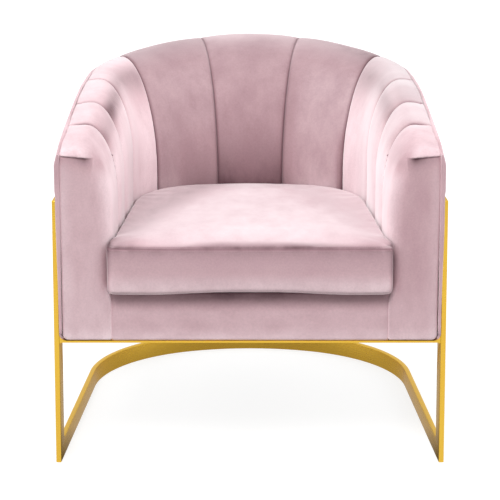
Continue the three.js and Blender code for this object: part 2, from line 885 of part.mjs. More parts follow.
const stripHalfLength = ((springCount - 1) / 2) * springSpacing + clipStripOverhang;
const frontStrip = rectangle(
  -stripHalfLength,
  stripHalfLength,
  springStart,
  springStart + clipStripWidth,
);
addPiece('spring_clip_front', prism(frontStrip, stripBottom, stripTop), zincSteel);
const outerSpringX = ((springCount - 1) / 2) * springSpacing;
const rearStripEnd = springEndAt(outerSpringX);
const rearStrip = rectangle(
  -stripHalfLength,
  stripHalfLength,
  rearStripEnd - clipStripWidth,
  rearStripEnd,
);
addPiece('spring_clip_rear', prism(rearStrip, stripBottom, stripTop), zincSteel);

// Deck pad over the springs, and the dust cover under the seat

const deckPlan = wallStations.map((station) => station.inner.clone()
  .addScaledVector(station.direction, -channelPadding));
addPiece('deck_pad', prism(deckPlan, deckBottom, deckHeight), felt);

const dustInset = coverInset + dustCoverInset;
const dustStart = crossbarDepth + clearance - dustInset * framePlan.inward.y;
const dustStartShare = dustStart / framePlan.along.y / framePlan.halfLength;
const dustPlan = [
  stationAt(dustStartShare, 0),
  ...allStations.filter(({ outerShare }) => (
    outerShare > dustStartShare && outerShare < 2 - dustStartShare)),
  stationAt(2 - dustStartShare, 0),
].map(({ frame }) => frame.point.clone().addScaledVector(frame.inward, dustInset));
const dustTop = tubUnderside - clearance;
addPiece('dust_cover', prism(dustPlan, dustTop - dustCoverThickness, dustTop), blackCloth);

// Outer cover: upright behind the frame, turned under at the hem

function outerCoverOutline(station) {
  const outside = [];
  const inside = [];
  for (let i = 0; i <= hemArcSteps; i += 1) {
    const angle = (Math.PI / 2) * (i / hemArcSteps);
    const across = 1 - Math.cos(angle);
    const down = 1 - Math.sin(angle);
    const innerRadius = hemRadius - coverThickness;
    outside.push(point2(coverInset + hemRadius * across, tubUnderside + hemRadius * down));
    inside.push(point2(
      coverInset + coverThickness + innerRadius * across,
      tubUnderside + coverThickness + innerRadius * down,
    ));
  }
  const hemEnd = coverInset + hemRadius + hemWidth;
  return [
    point2(coverInset, station.edge - clearance),
    ...outside,
    point2(hemEnd, tubUnderside),
    point2(hemEnd, tubUnderside + coverThickness),
    ...inside.reverse(),
    point2(coverInset + coverThickness, station.edge - clearance),
  ];
}

// The hem stops behind the arm facings, whose lower edges take its place
const hemNotch = prism([
  sidePoint(-hemWidth, wallInset - clearance),
  sidePoint(-hemWidth, wallInset + hemRadius + hemWidth),
  sidePoint(facingDepth + hemRadius, wallInset + hemRadius + hemWidth),
  sidePoint(facingDepth + hemRadius, wallInset - clearance),
], tubUnderside - cutOverrun, tubUnderside + hemRadius);
addPiece('outer_cover', cut(
  ringSolid(allStations, outerCoverOutline),
  [...bothSidesHoles, hemNotch, mirrored(hemNotch)],
), velvet);

// Arm facings and the front panel: flat padded fronts with softly rounded edges

function facingOutline(station, margin) {
  const bottom = tubUnderside + margin;
  const corner = [];
  for (let i = 0; i <= hemArcSteps; i += 1) {
    const angle = (Math.PI / 2) * (i / hemArcSteps);
    corner.push(point2(
      margin + facingCornerRadius * (1 - Math.cos(angle)),
      bottom + facingCornerRadius * (1 - Math.sin(angle)),
    ));
  }
  return [
    ...corner,
    point2(station.thickness - margin, bottom),
    ...rollSineShares.map((sine) => rollPoint(station, sine, margin)).reverse(),
    point2(crestInset, station.crest - margin),
    point2(channelEdgeRadius + margin, station.edge + clearance - margin),
    point2(margin, station.edge - channelEdgeRadius - margin),
  ];
}

const facingPlaces = [
  [0, facingRoundMargin],
  [facingRoundDepth / facingDepth, facingRoundMargin * facingRoundShare],
  [1, 0],
];

function facingSolid() {
  const sections = facingPlaces.map(([share, margin]) => {
    const run = share * (facingDepth - clearance) / facingDepth;
    const station = onWall(facingOuterShare * run);
    return { outline: facingOutline(station, margin), place: station.place };
  });
  return loft(sections);
}

const leftFacing = facingSolid();
addPiece('arm_facing_left', leftFacing, velvet);
addPiece('arm_facing_right', mirrored(leftFacing), velvet);

const frontPanelSections = facingPlaces.map(([share, margin]) => {
  const depth = share * (facingDepth - clearance);
  const halfWidth = seatWidthAt(facingDepth, clearance) - margin;
  return {
    outline: rectangle(-halfWidth, halfWidth, tubUnderside + margin, deckHeight - margin),
    place: (point) => new THREE.Vector3(point.x, depth, point.y),
  };
});
addPiece('front_panel', loft(frontPanelSections), velvet);

// Channels: each swells between its two seams, rolls over the crest and ends at the top edge

function channelOutline(station, crease) {
  const foot = deckHeight + clearance;
  return [
    point2(0, station.edge - channelPadding),
    point2(0, station.edge - channelEdgeRadius - crease / 2),
    point2(channelEdgeRadius, station.edge - crease / 2),
    point2(crestInset / 2, station.edge + crestRise * (1 - rollSineShares[0]) - crease),
    point2(crestInset, station.crest - crease),
    ...rollSineShares.map((sine) => rollPoint(station, sine, crease)),
    point2(station.thickness - crease, foot),
    point2(station.thickness - channelPadding, foot),
    ...rollBackSineShares.map((sine) => rollPoint(station, sine, channelPadding)),
    point2(crestInset, station.crest - channelPadding),
  ];
}

function channelSolid(channel) {
  const stations = channelStations[channel];
  const steps = stations.length - 1;
  const width = stations.reduce((sum, station, i) => (
    i ? sum + station.inner.distanceTo(stations[i - 1].inner) : 0), 0);
  const seamShare = clearance / 2 / width;
  const places = [seamShare, creaseLineShare];
  for (let step = 1; step < steps; step += 1) {
    places.push(step / steps);
  }
  places.push(1 - creaseLineShare, 1 - seamShare);
  return loft(places.map((place) => {
    const step = Math.min(Math.floor(place * steps), steps - 1);
    const station = stationMixed(stations[step], stations[step + 1], place * steps - step);
    const crease = channelCrease * Math.abs(2 * place - 1) ** creasePower;
    return { outline: channelOutline(station, crease), place: station.place };
  }));
}

const channelName = (channel) => `channel_pad_${String(channel + 1).padStart(2, '0')}`;
for (let channel = 0; channel <= middleChannel; channel += 1) {
  const pad = channelSolid(channel);
  addPiece(channelName(channel), pad, velvet);
  if (channel < middleChannel) {
    addPiece(channelName(channelSteps.length - 1 - channel), mirrored(pad), velvet);
  }
}

// Loose seat cushion: crowned cover with drawn-in sides, foam core and a zip at the back

const cushionBottom = deckHeight + clearance;
const cushionBack = seatDepth - cushionSideGap;
const cushionMiddle = (cushionBack - cushionOverhang) / 2;

function cushionPlan() {
  const wall = wallStations.filter((station, i) => i % 2 === 0).map((station) => (
    station.inner.clone().addScaledVector(station.direction, cushionSideGap)));
  const earX = seatHalfWidth + cushionEar;
  const front = -cushionOverhang;
  const rightFront = [point2(seatHalfWidth - cushionSideGap - clearance, -cushionSideGap)];
  for (let i = 0; i <= cushionCornerSteps; i += 1) {
    const angle = (Math.PI / 2) * (i / cushionCornerSteps);
    rightFront.push(point2(
      earX - cushionCornerRadius * (1 - Math.cos(angle)),
      front + cushionCornerRadius * (1 - Math.sin(angle)) * (cushionEarDepth / cushionCornerRadius),
    ));
  }
  for (let i = 1; i < cushionFrontSteps / 2; i += 1) {
    const t = i / (cushionFrontSteps / 2);
    rightFront.push(point2((earX - cushionCornerRadius) * (1 - t), front - cushionFrontBow * t));
  }
  const leftFront = rightFront.map((point) => point2(-point.x, point.y)).reverse();
  return [...wall, ...rightFront, point2(0, front - cushionFrontBow), ...leftFront];
}

const cushionOutline = cushionPlan();
const cushionHalfWidth = seatHalfWidth + cushionEar;

// A point of the outline drawn in towards the middle, first by a share and then by a length
function drawnIn(point, share, inset) {
  const size = share * (1 - inset / cushionHalfWidth);
  return point2(point.x * size, cushionMiddle + (point.y - cushionMiddle) * size);
}

function cushionSolid(inset) {
  const height = cushionCrownHeight - 2 * inset;
  return loft(cushionLevelShares.map(([share, level]) => ({
    outline: cushionOutline,
    place: (point) => {
      const { x, y } = drawnIn(point, share, inset);
      return new THREE.Vector3(x, y, cushionBottom + inset + level * height);
    },
  })), true);
}

// The zip follows the back of the cushion in a slot through the cover
const [drawShare, drawLevel] = sideDrawLevelShares;
const zipEdge = cushionOutline.filter(({ x, y }) => (
  y > cushionMiddle && Math.abs(x) < zipLength / 2));
const zipFace = (inset) => zipEdge.map((point) => drawnIn(point, drawShare, inset));
const zipMiddle = cushionBottom + cushionCrownHeight * drawLevel;
const zipHalfLength = Math.max(...zipFace(0).map(({ x }) => x));
const slot = new THREE.BoxGeometry(
  2 * (zipHalfLength + boreClearance),
  zipSlotDepth,
  zipHeight + 2 * boreClearance,
);
slot.translate(0, cushionBack - zipSlotDepth / 2 + cutOverrun, zipMiddle);
const cushionCavity = cushionSolid(cushionCoverThickness);
addPiece('cushion_cover', cut(cushionSolid(0), [cushionCavity, slot]), velvet);
addPiece('cushion_core', cushionSolid(cushionCoverThickness + cushionCoreGap), foam);
addPiece('cushion_zip', prism(
  [...zipFace(boreClearance), ...zipFace(boreClearance + zipTapeThickness).reverse()],
  zipMiddle - zipHeight / 2,
  zipMiddle + zipHeight / 2,
  false,
), zipTape);

// The origin lies under the middle of the outline
const model = new THREE.Group();
chair.position.y = -(frameDepth - cushionOverhang - cushionFrontBow) / 2;
model.add(chair);

export default model;
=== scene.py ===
# %% [markdown]
# A tub chair in pale velvet on a gilt flat-bar frame. The CAD model gives every piece its size
# and place. This notebook dresses it: soft pieces get their swell, seams and pile, and the steel
# gets rounded edges and a polish. It is read from top to bottom, one piece of the chair at a time.

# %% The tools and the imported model
import json
import math
import bmesh
import bpy
import numpy as np
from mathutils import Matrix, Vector, noise
from mathutils.bvhtree import BVHTree


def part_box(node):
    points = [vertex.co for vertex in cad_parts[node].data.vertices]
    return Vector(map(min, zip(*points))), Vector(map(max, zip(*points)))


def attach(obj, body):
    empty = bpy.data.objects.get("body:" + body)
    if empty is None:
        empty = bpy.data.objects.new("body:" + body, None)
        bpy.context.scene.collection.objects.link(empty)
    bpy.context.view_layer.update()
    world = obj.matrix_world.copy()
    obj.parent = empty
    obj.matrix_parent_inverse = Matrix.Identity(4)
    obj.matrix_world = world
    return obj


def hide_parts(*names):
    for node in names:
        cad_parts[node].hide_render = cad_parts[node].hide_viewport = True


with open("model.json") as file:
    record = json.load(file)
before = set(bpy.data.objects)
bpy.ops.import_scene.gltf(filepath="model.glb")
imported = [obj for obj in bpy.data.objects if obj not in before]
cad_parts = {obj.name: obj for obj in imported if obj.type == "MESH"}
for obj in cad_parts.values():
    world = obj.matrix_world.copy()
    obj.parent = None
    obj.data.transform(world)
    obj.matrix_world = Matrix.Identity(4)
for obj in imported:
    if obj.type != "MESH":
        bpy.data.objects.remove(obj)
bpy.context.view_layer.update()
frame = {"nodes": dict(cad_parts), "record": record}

# %% [markdown]
# The chair is drawn with the front of its frame at a depth of zero, because the photograph shows
# the front best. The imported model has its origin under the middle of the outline. One shift joins
# the two, and it is measured from the hoop rather than typed, so it follows the model.

# %% From chair measures to the model's frame
MM = 0.001
FRAME_DEPTH = 778 * MM
HOOP_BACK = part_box("base_hoop")[1].y
FRONT_SHIFT = FRAME_DEPTH - HOOP_BACK


def to_frame(points):
    """Points whose depth is counted from the front of the frame, moved into the model's frame."""
    moved = np.array(points, float)
    moved[..., 1] -= FRONT_SHIFT
    return moved


def new_object(name, data):
    """A named object with its data, put into the scene."""
    made = bpy.data.objects.new(name, data)
    bpy.context.scene.collection.objects.link(made)
    return made


print("front of the frame at y =", round(-FRONT_SHIFT, 4))

# %% [markdown]
# The camera stands where the photographer stood: high enough to look down by fifteen degrees and
# far away, with a long lens, so that the uprights at the sides stay almost parallel. A closer
# camera would flare the arms. The numbers come from fitting the cushion, the hoop and the seams.

# %% The camera
CAMERA_DISTANCE = 5.391
CAMERA_HEIGHT = 1.877
CAMERA_PITCH = 15
CAMERA_LENS = 208.4
SENSOR_WIDTH = 36

camera_data = bpy.data.cameras.new("photo_camera")
camera_data.lens = CAMERA_LENS
camera_data.sensor_width = SENSOR_WIDTH
camera = new_object("photo_camera", camera_data)
camera.location = (0, -CAMERA_DISTANCE - FRONT_SHIFT, CAMERA_HEIGHT)
camera.rotation_euler = (math.radians(90 - CAMERA_PITCH), 0, 0)
bpy.context.scene.camera = camera
print("camera at", tuple(round(value, 3) for value in camera.location))

# %% [markdown]
# Materials are little programs. To write one as a formula, a small class wraps a node's socket,
# and the signs of arithmetic add Math nodes. Any other node comes from one method, which takes
# the node's type, its settings and the values or links of its sockets.


# %% Shader maths in plain Python
def link_or_set(tree, socket, value):
    if isinstance(value, Wire):
        tree.links.new(value.socket, socket)
    else:
        socket.default_value = value


class Wire:
    """A node's output, with arithmetic that adds Math nodes."""

    def __init__(self, paint, socket):
        self.paint = paint
        self.socket = socket

    def maths(self, operation, *values):
        return self.paint.node("Math", {"operation": operation}, *values)

    def __add__(self, other):
        return self.maths("ADD", self, other)

    __radd__ = __add__

    def __mul__(self, other):
        return self.maths("MULTIPLY", self, other)

    __rmul__ = __mul__

    def __sub__(self, other):
        return self.maths("SUBTRACT", self, other)

    def __rsub__(self, other):
        return self.maths("SUBTRACT", other, self)


class Paint:
    """A procedural material under construction."""

    def __init__(self, name):
        self.material = bpy.data.materials.new(name)
        self.material.use_nodes = True
        self.tree = self.material.node_tree
        self.shader = self.tree.nodes["Principled BSDF"]
        self.surface = Wire(self, self.shader.outputs[0])
        self.place = self.node("TexCoord", output="Object")
        apart = self.node("SeparateXYZ", None, self.place).socket.node
        self.run, self.depth, self.height = (Wire(self, output) for output in apart.outputs)

    def node(self, kind, settings=None, *values, output=0, **named):
        made = self.tree.nodes.new("ShaderNode" + kind)
        for key, value in (settings or {}).items():
            if key == "stops":
                ramp = made.color_ramp
                for element, (position, colour) in zip(ramp.elements, value):
                    element.position = position
                    element.color = (*colour, 1)
                for position, colour in value[2:]:
                    ramp.elements.new(position).color = (*colour, 1)
            else:
                setattr(made, key, value)
        for index, value in enumerate(values):
            link_or_set(self.tree, made.inputs[index], value)
        for key, value in named.items():
            link_or_set(self.tree, made.inputs[key.replace("_", " ")], value)
        return Wire(self, made.outputs[output])

    def set(self, **named):
        for key, value in named.items():
            link_or_set(self.tree, self.shader.inputs[key.replace("_", " ")], value)
        return self

    def bump(self, height, distance, strength=1.0):
        wire = self.node("Bump", None, Height=height, Distance=distance, Strength=strength, output="Normal")
        return self.set(Normal=wire)

    def mix_in(self, share, **named):
        """Mixes another plain shader over what is there, by a share that may vary."""
        second = self.node("BsdfPrincipled", None, **named)
        self.surface = self.node("MixShader", None, share, self.surface, second)
        self.tree.links.new(self.surface.socket, self.tree.nodes["Material Output"].inputs["Surface"])
        return self

    def blend(self, factor, first, second):
        mixed = self.node("Mix", {"data_type": "RGBA"}, output=2)
        made = mixed.socket.node
        link_or_set(self.tree, made.inputs[0], factor)
        for socket, colour in ((made.inputs[6], first), (made.inputs[7], second)):
            link_or_set(self.tree, socket, (*colour, 1) if isinstance(colour, tuple) else colour)
        return mixed


def linear(red, green, blue):
    """A colour picked on a screen, from 0 to 255, as the linear values that a shader works in."""
    def convert(value):
        share = value / 255
        return share / 12.92 if share <= 0.04045 else ((share + 0.055) / 1.055) ** 2.4
    return tuple(convert(value) for value in (red, green, blue))


print("shader class ready")

# %% [markdown]
# The studio is plain: one wide soft lamp above the front, two weaker ones at the sides, and a
# pale world. Sun lamps are used because their light is as strong far away as near, so the floor
# is even. A wide sun angle gives the soft shadow that the photograph has under the cushion.


# %% Lamps
def add_sun(name, azimuth, elevation, strength, width):
    """A soft lamp far away; azimuth 0 is straight in front of the chair."""
    data = bpy.data.lights.new(name, "SUN")
    data.energy = strength
    data.angle = math.radians(width)
    lamp = new_object(name, data)
    around, above = math.radians(azimuth), math.radians(elevation)
    towards = Vector((
        math.sin(around) * math.cos(above),
        -math.cos(around) * math.cos(above),
        math.sin(above),
    ))
    lamp.rotation_euler = towards.to_track_quat("Z", "Y").to_euler()


add_sun("front_lamp", azimuth=-12, elevation=50, strength=1.7, width=26)
add_sun("left_lamp", azimuth=-82, elevation=30, strength=0.8, width=45)
add_sun("right_lamp", azimuth=82, elevation=30, strength=0.8, width=45)
print("lamps:", [lamp.name for lamp in bpy.data.lights])

# %% [markdown]
# The world lights the shadows. Rays that go straight to the camera, or that come back from the
# metal, see it white, and rays that carry light to the velvet see it dimmer. The floor does the
# same with a little glow of its own, and keeps the shadow of the chair.

# %% World and floor
AMBIENT_LEVEL = 0.66
FLOOR_HALF = 30
FLOOR_GLOW = 0.8
FLOOR_DROP = 0.5 * MM
CARD_DROP = 0.2 * MM
CARD_HALF, CARD_FRONT, CARD_BACK = 370 * MM, -370 * MM, 800 * MM
CARD_FADE_END = -150 * MM
CARD_DARKEST = 0.15
CARD_GLOW = (0.5, 0.47, 0.45)

world = bpy.data.worlds.new("studio")
world.use_nodes = True
bpy.context.scene.world = world
tree = world.node_tree
background = tree.nodes["Background"]


def seen_directly(tree):
    """1 for rays from the camera, a mirror or glass, and 0 for rays that carry soft light."""
    path = tree.nodes.new("ShaderNodeLightPath")
    total = path.outputs["Is Camera Ray"]
    for name in ("Is Glossy Ray", "Is Transmission Ray"):
        greatest = tree.nodes.new("ShaderNodeMath")
        greatest.operation = "MAXIMUM"
        tree.links.new(total, greatest.inputs[0])
        tree.links.new(path.outputs[name], greatest.inputs[1])
        total = greatest.outputs[0]
    return total


def flat_sheet(name, paint, half_width, front, back, drop):
    """A level rectangle a hair below the floor's zero."""
    mesh = bpy.data.meshes.new(name)
    corners = [(-half_width, front), (half_width, front), (half_width, back), (-half_width, back)]
    mesh.from_pydata([(x, y, 0) for x, y in corners], [], [(0, 1, 2, 3)])
    mesh.materials.append(paint.material)
    sheet = new_object(name, mesh)
    sheet.location.z = -drop
    return sheet


level = tree.nodes.new("ShaderNodeMapRange")
level.inputs["To Min"].default_value = AMBIENT_LEVEL
level.inputs["To Max"].default_value = 1
tree.links.new(seen_directly(tree), level.inputs["Value"])
tree.links.new(level.outputs[0], background.inputs["Strength"])
background.inputs["Color"].default_value = (1, 1, 1, 1)

floor_paint = Paint("studio_floor")
floor_paint.set(Base_Color=(0.3, 0.3, 0.3, 1), Roughness=0.9)
seen = Wire(floor_paint, seen_directly(floor_paint.tree))
floor_paint.set(Emission_Color=floor_paint.blend(seen, (0, 0, 0), (1, 1, 1)), Emission_Strength=FLOOR_GLOW)

floor = flat_sheet("studio_floor", floor_paint, FLOOR_HALF, -FLOOR_HALF, FLOOR_HALF, FLOOR_DROP)

# The polished steel would mirror a white floor right under the chair, where the real floor lies
# in shade. A grey card lies there, which nothing but a mirror sees.
card_paint = Paint("shade_card")
shading = card_paint.node("MapRange", None, card_paint.depth, CARD_FRONT, CARD_FADE_END, CARD_DARKEST, 1)
card_paint.set(
    Base_Color=(0, 0, 0, 1),
    Emission_Color=card_paint.blend(shading, (0, 0, 0), CARD_GLOW),
    Emission_Strength=1.0,
)
card = flat_sheet("shade_card", card_paint, CARD_HALF, CARD_FRONT, CARD_BACK, CARD_DROP)
card.visible_camera = False
card.visible_diffuse = False
card.visible_shadow = False
card.visible_transmission = False

bpy.context.scene.view_settings.view_transform = "Standard"
print("world and floor ready")

# %% [markdown]
# Two curves seen from above give the tub its plan: the outline that the steel follows, and the
# tighter line of the seat. Each is a straight tapered side, a corner arc and a wide back arc. A
# station is an upright plane that joins a point of one curve to a point of the other. The whole
# tub is drawn in such planes, as an upholsterer cuts ribs for a barrel back.

# %% Measures of the tub
HALF_WIDTH = 381 * MM
SEAT_HALF_WIDTH = 268 * MM
SEAT_DEPTH = 501 * MM
BAR = 10 * MM
COVER_INSET = 10.3 * MM
WALL_INSET = 13.6 * MM
UNDERSIDE = 250 * MM
DECK = 346 * MM
ARM_HEIGHT = 622 * MM
BACK_HEIGHT = 712 * MM
EDGE_PLACES = (0, 0.05, 0.155, 0.32, 0.41, 0.62, 1)
EDGE_RISES = (0, 0.21, 0.433, 0.7, 0.733, 0.755, 1)
CREST_INSET = 38 * MM
CREST_RISE = 5 * MM
ARM_ROLL_DROP = 140 * MM
ARM_ROLL_THICKNESS = 101 * MM
ROLL_GROWTH = 0.8


class PlanCurve:
    """A tapered side, a corner and a wide back. Share 0 is the left front and 2 the right front."""

    def __init__(self, half_width, taper, corner, back, depth):
        angle = math.radians(taper)
        self.along = np.array([math.sin(angle), math.cos(angle)])
        self.inward = np.array([math.cos(angle), -math.sin(angle)])
        self.start = np.array([-half_width, 0.0])
        self.corner, self.back = corner, back
        self.back_centre = np.array([0.0, depth - back])
        first = self.start + self.inward * corner
        offset = first - self.back_centre
        middle = offset @ self.along
        reach = back - corner
        self.side_length = math.sqrt(middle ** 2 - offset @ offset + reach ** 2) - middle
        self.corner_centre = first + self.along * self.side_length
        self.first_angle = math.pi - angle
        towards = self.corner_centre - self.back_centre
        self.second_angle = math.atan2(towards[1], towards[0])
        self.corner_length = corner * (self.first_angle - self.second_angle)
        self.half_length = self.side_length + self.corner_length + back * (self.second_angle - math.pi / 2)

    def at(self, share):
        run = (share if share <= 1 else 2 - share) * self.half_length
        side = 1 if share <= 1 else -1
        past = run - self.side_length
        if past <= 0:
            point, inward = self.start + self.along * run, self.inward.copy()
        else:
            centre, radius, angle = self.corner_centre, self.corner, self.first_angle - past / self.corner
            if past > self.corner_length:
                centre, radius = self.back_centre, self.back
                angle = self.second_angle - (past - self.corner_length) / self.back
            outward = np.array([math.cos(angle), math.sin(angle)])
            point, inward = centre + outward * radius, -outward
        mirror = np.array([side, 1])
        return point * mirror, inward * mirror


frame_plan = PlanCurve(HALF_WIDTH, 4.8, 307 * MM, 416 * MM, FRAME_DEPTH)
seat_plan = PlanCurve(SEAT_HALF_WIDTH, 5.7, 144 * MM, 691 * MM, SEAT_DEPTH)
print("half way round the hoop:", round(frame_plan.half_length, 3), "m")

# %% [markdown]
# The top edge climbs fast at the arm fronts, rests along the sides and climbs again round the
# back. A smooth curve through a few heights gives that line. The section of the wall is a flat
# outer face, a crest a little way in, and a long quarter of an ellipse that rolls down to the
# seat side.


# %% Height of the top edge and the section of the wall
def smooth_share(places, values, place):
    """The height at a place of a smooth curve through values, level at its last point."""
    last = len(places) - 1

    def slope(i):
        if i == last:
            return 0.0
        low, high = max(i - 1, 0), i + 1
        return (values[high] - values[low]) / (places[high] - places[low])

    i = 0
    while i < last - 1 and place > places[i + 1]:
        i += 1
    span = places[i + 1] - places[i]
    t = (place - places[i]) / span
    return (
        values[i] * (2 * t ** 3 - 3 * t ** 2 + 1)
        + values[i + 1] * (3 * t ** 2 - 2 * t ** 3)
        + slope(i) * span * (t ** 3 - 2 * t ** 2 + t)
        + slope(i + 1) * span * (t ** 3 - t ** 2)
    )


def edge_height(outer_share):
    place = outer_share if outer_share <= 1 else 2 - outer_share
    return ARM_HEIGHT + (BACK_HEIGHT - ARM_HEIGHT) * smooth_share(EDGE_PLACES, EDGE_RISES, place)


def in_plane(start, direction, section):
    """Section points (x, z) in space, with x counted from start along a level direction."""
    section = np.asarray(section, float)
    return np.column_stack([start + np.outer(section[:, 0], direction), section[:, 1]])


class Station:
    """An upright plane across the wall. In it x runs inward from the outer face and z is the height."""

    def __init__(self, outer_share, inner_share):
        self.frame_point, self.frame_inward = frame_plan.at(outer_share)
        self.outer = self.frame_point + self.frame_inward * WALL_INSET
        inner = seat_plan.at(inner_share)[0]
        self.thickness = np.linalg.norm(inner - self.outer)
        self.direction = (inner - self.outer) / self.thickness
        self.edge = edge_height(outer_share)
        self.crest = self.edge + CREST_RISE
        self.roll_drop = ARM_ROLL_DROP + (self.thickness - ARM_ROLL_THICKNESS) * ROLL_GROWTH

    def place(self, section):
        return in_plane(self.outer, self.direction, section)

    def place_outside(self, section):
        """The same for x counted inward from the outer face of the steel."""
        return in_plane(self.frame_point, self.frame_inward, section)

    def roll(self, angle):
        """A point of the roll: angle 0 is the crest, and a right angle is where the face is upright."""
        half = self.thickness - CREST_INSET
        height = self.crest - self.roll_drop + self.roll_drop * math.cos(angle)
        return CREST_INSET + half * math.sin(angle), height


print("edge heights:", [round(edge_height(share), 3) for share in (0, 0.2, 0.5, 1)])

# %% [markdown]
# Most soft pieces are two grids of points, one for the side that is seen and one for the side
# that is hidden, joined round their rims. That gives a closed form of real thickness with clean
# rows, along which seams and wrinkles can be laid later. A piece is then turned smooth, painted,
# tied to the body that it moves with and set in place of its CAD solid.


# %% Grids, closed forms and pieces
def grid_normals(points):
    """Unit normals of a grid of points, on the side that faces the seat or the outside."""
    across = np.gradient(points, axis=0)
    down = np.gradient(points, axis=1)
    normals = np.cross(down, across)
    length = np.linalg.norm(normals, axis=2, keepdims=True)
    return normals / np.maximum(length, 1e-12)


def closed_form(front, back):
    """Vertices and faces of the form between two grids of the same size."""
    columns, rows = front.shape[:2]
    shift = columns * rows
    points = np.concatenate([front.reshape(-1, 3), back.reshape(-1, 3)])
    faces = []
    for c in range(columns - 1):
        for r in range(rows - 1):
            a = c * rows + r
            quad = (a, a + 1, a + rows + 1, a + rows)
            faces.append(quad)
            faces.append(tuple(shift + i for i in reversed(quad)))
    rim = [c * rows for c in range(columns)]
    rim += [(columns - 1) * rows + r for r in range(1, rows)]
    rim += [c * rows + rows - 1 for c in range(columns - 2, -1, -1)]
    rim += [r for r in range(rows - 2, 0, -1)]
    for a, b in zip(rim, rim[1:] + rim[:1]):
        faces.append((a, b, b + shift, a + shift))
    return points, faces


def loft_form(loops):
    """A closed form through loops of the same number of points, with a fan at each end."""
    count = len(loops[0])
    points = [point for loop in loops for point in loop]
    faces = []
    for ring in range(len(loops) - 1):
        for i in range(count):
            j = (i + 1) % count
            a, b = ring * count + i, ring * count + j
            faces.append((a, b, b + count, a + count))
    for first, loop, turned in ((0, loops[0], True), ((len(loops) - 1) * count, loops[-1], False)):
        hub = len(points)
        points.append(np.mean(loop, axis=0))
        for i in range(count):
            a, b = first + i, first + (i + 1) % count
            faces.append((b, a, hub) if turned else (a, b, hub))
    return np.array(points), faces


def make_mesh(name, points, faces):
    mesh = bpy.data.meshes.new(name)
    mesh.from_pydata([tuple(point) for point in to_frame(points)], [], faces)
    form = bmesh.new()
    form.from_mesh(mesh)
    bmesh.ops.remove_doubles(form, verts=form.verts, dist=1e-6)
    bmesh.ops.recalc_face_normals(form, faces=form.faces)
    form.to_mesh(mesh)
    form.free()
    return new_object(name, mesh)


def finish_piece(piece, material, body, nodes, crease_angle=60):
    """Smooth shading, paint, body and the CAD nodes that the piece stands for."""
    mesh = piece.data
    mesh.materials.clear()
    mesh.materials.append(material)
    mesh.shade_smooth()
    mesh.set_sharp_from_angle(angle=math.radians(crease_angle))
    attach(piece, body)
    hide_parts(*nodes)
    print(piece.name, len(mesh.vertices), "vertices")


def upholster(piece, velvet, nodes, body="chair_frame"):
    """A finished piece of padded velvet."""
    finish_piece(piece, velvet, body, nodes)


def vectors(items, key):
    """One row of three numbers for each item of a mesh."""
    values = np.zeros(len(items) * 3)
    items.foreach_get(key, values)
    return values.reshape(-1, 3)


def mesh_points(piece):
    return vectors(piece.data.vertices, "co")


def chair_points(piece):
    """The piece's points with their depth counted from the front of the frame."""
    points = mesh_points(piece)
    points[:, 1] += FRONT_SHIFT
    return points


def set_points(piece, points):
    piece.data.vertices.foreach_set("co", np.asarray(points, float).ravel())
    piece.data.update()


def set_layer(piece, name, values):
    """Keeps one number for each point of the mesh, for the paint to read."""
    attributes = piece.data.attributes
    layer = attributes.get(name) or attributes.new(name, "FLOAT", "POINT")
    layer.data.foreach_set("value", values.astype(np.float32))


def set_painted_deep_shade(piece, depth):
    """Painted shade at each point, from 0 to 1: a dark matte velvet mixed in, deepest in the seams."""
    set_layer(piece, "crease", np.clip(depth, 0, 1))


def set_painted_light(piece, amount):
    """Painted light and shade at each point: 1 is a painted highlight, pale, and -1 is painted shade, dark.
    """
    set_layer(piece, "nap", np.clip(amount, -1, 1))


def soft_noise(points, size, seed=0.0):
    """Smooth noise from -1 to 1 whose waves are about as long as size."""
    shift = Vector((seed * 7.3, seed * 3.1, seed * 5.7))
    return np.array([noise.noise(Vector(point) / size + shift) for point in points.reshape(-1, 3)])


def ease(value, low, high):
    """0 below low, 1 above high and a smooth step between."""
    t = np.clip((np.asarray(value, float) - low) / (high - low), 0, 1)
    return t * t * (3 - 2 * t)


def bell(distance, width, power=2):
    """1 at no distance, falling smoothly to nothing past the width."""
    return np.exp(-(distance / width) ** power)


def fading(distance, reach):
    """1 at no distance, falling fast at first and then ever more slowly."""
    return np.exp(-distance / reach)


def seam_noise(along, away, share, size, seed):
    """Noise that follows a seam, and changes by only a share as fast away from it."""
    return soft_noise(np.column_stack([along, away * share, along * 0]), size, seed)


print("mesh helpers ready")

# %% [markdown]
# Velvet is a short dense pile. Seen straight on it shows the dark gaps between the hairs, and
# seen along the surface it shows their bright tips, so the arms' sides and the top of the seat
# look far paler than the back. The sheen of the main shader gives part of this, and a paler
# shader, mixed in where the surface turns away from the camera, paints the rest: a painted sheen.
# Each point also keeps painted light and shade: painted highlights low on the arms' sides and in
# the middle of the seat, and painted shade where the rolls turn, low in the back, in the seams
# and under and beside the cushion. Where a hand has brushed the pile, it leans another way and
# changes its tone: slow patches do that. The finest bump stands for the pile itself.

# %% Velvet
VELVET_SHEEN_COLOUR = linear(255, 230, 235)
SEAT_SHEEN_COLOUR = linear(255, 242, 245)
# Colours of the painted highlight, the painted shade and the painted shade in the seams.
PAINTED_HIGHLIGHT_COLOUR = linear(250, 230, 234)
PAINTED_SHADE_COLOUR = linear(84, 54, 61)
DEEP_SHADE_COLOUR = linear(108, 70, 80)
STITCH = 4.2 * MM
THREAD = 0.8 * MM
THREAD_WEIGHT = 0.8
UPRIGHT_STROKES = (1, 1, 0.45)
CUSHION_STITCHES = (443.5 * MM, 435.5 * MM, 353 * MM)


def stitch_line(paint, height, half_width):
    """1 along a level line of thread, broken into stitches, on cloth that stands upright."""
    away = paint.node("Math", {"operation": "ABSOLUTE"}, paint.height - height)
    line = paint.node("MapRange", None, away, 0, half_width, 1, 0)
    turn = paint.node("Math", {"operation": "SINE"}, paint.run * (2 * math.pi / STITCH))
    dash = paint.node("MapRange", None, turn, -0.9, -0.3, 0.45, 1)
    return line * dash


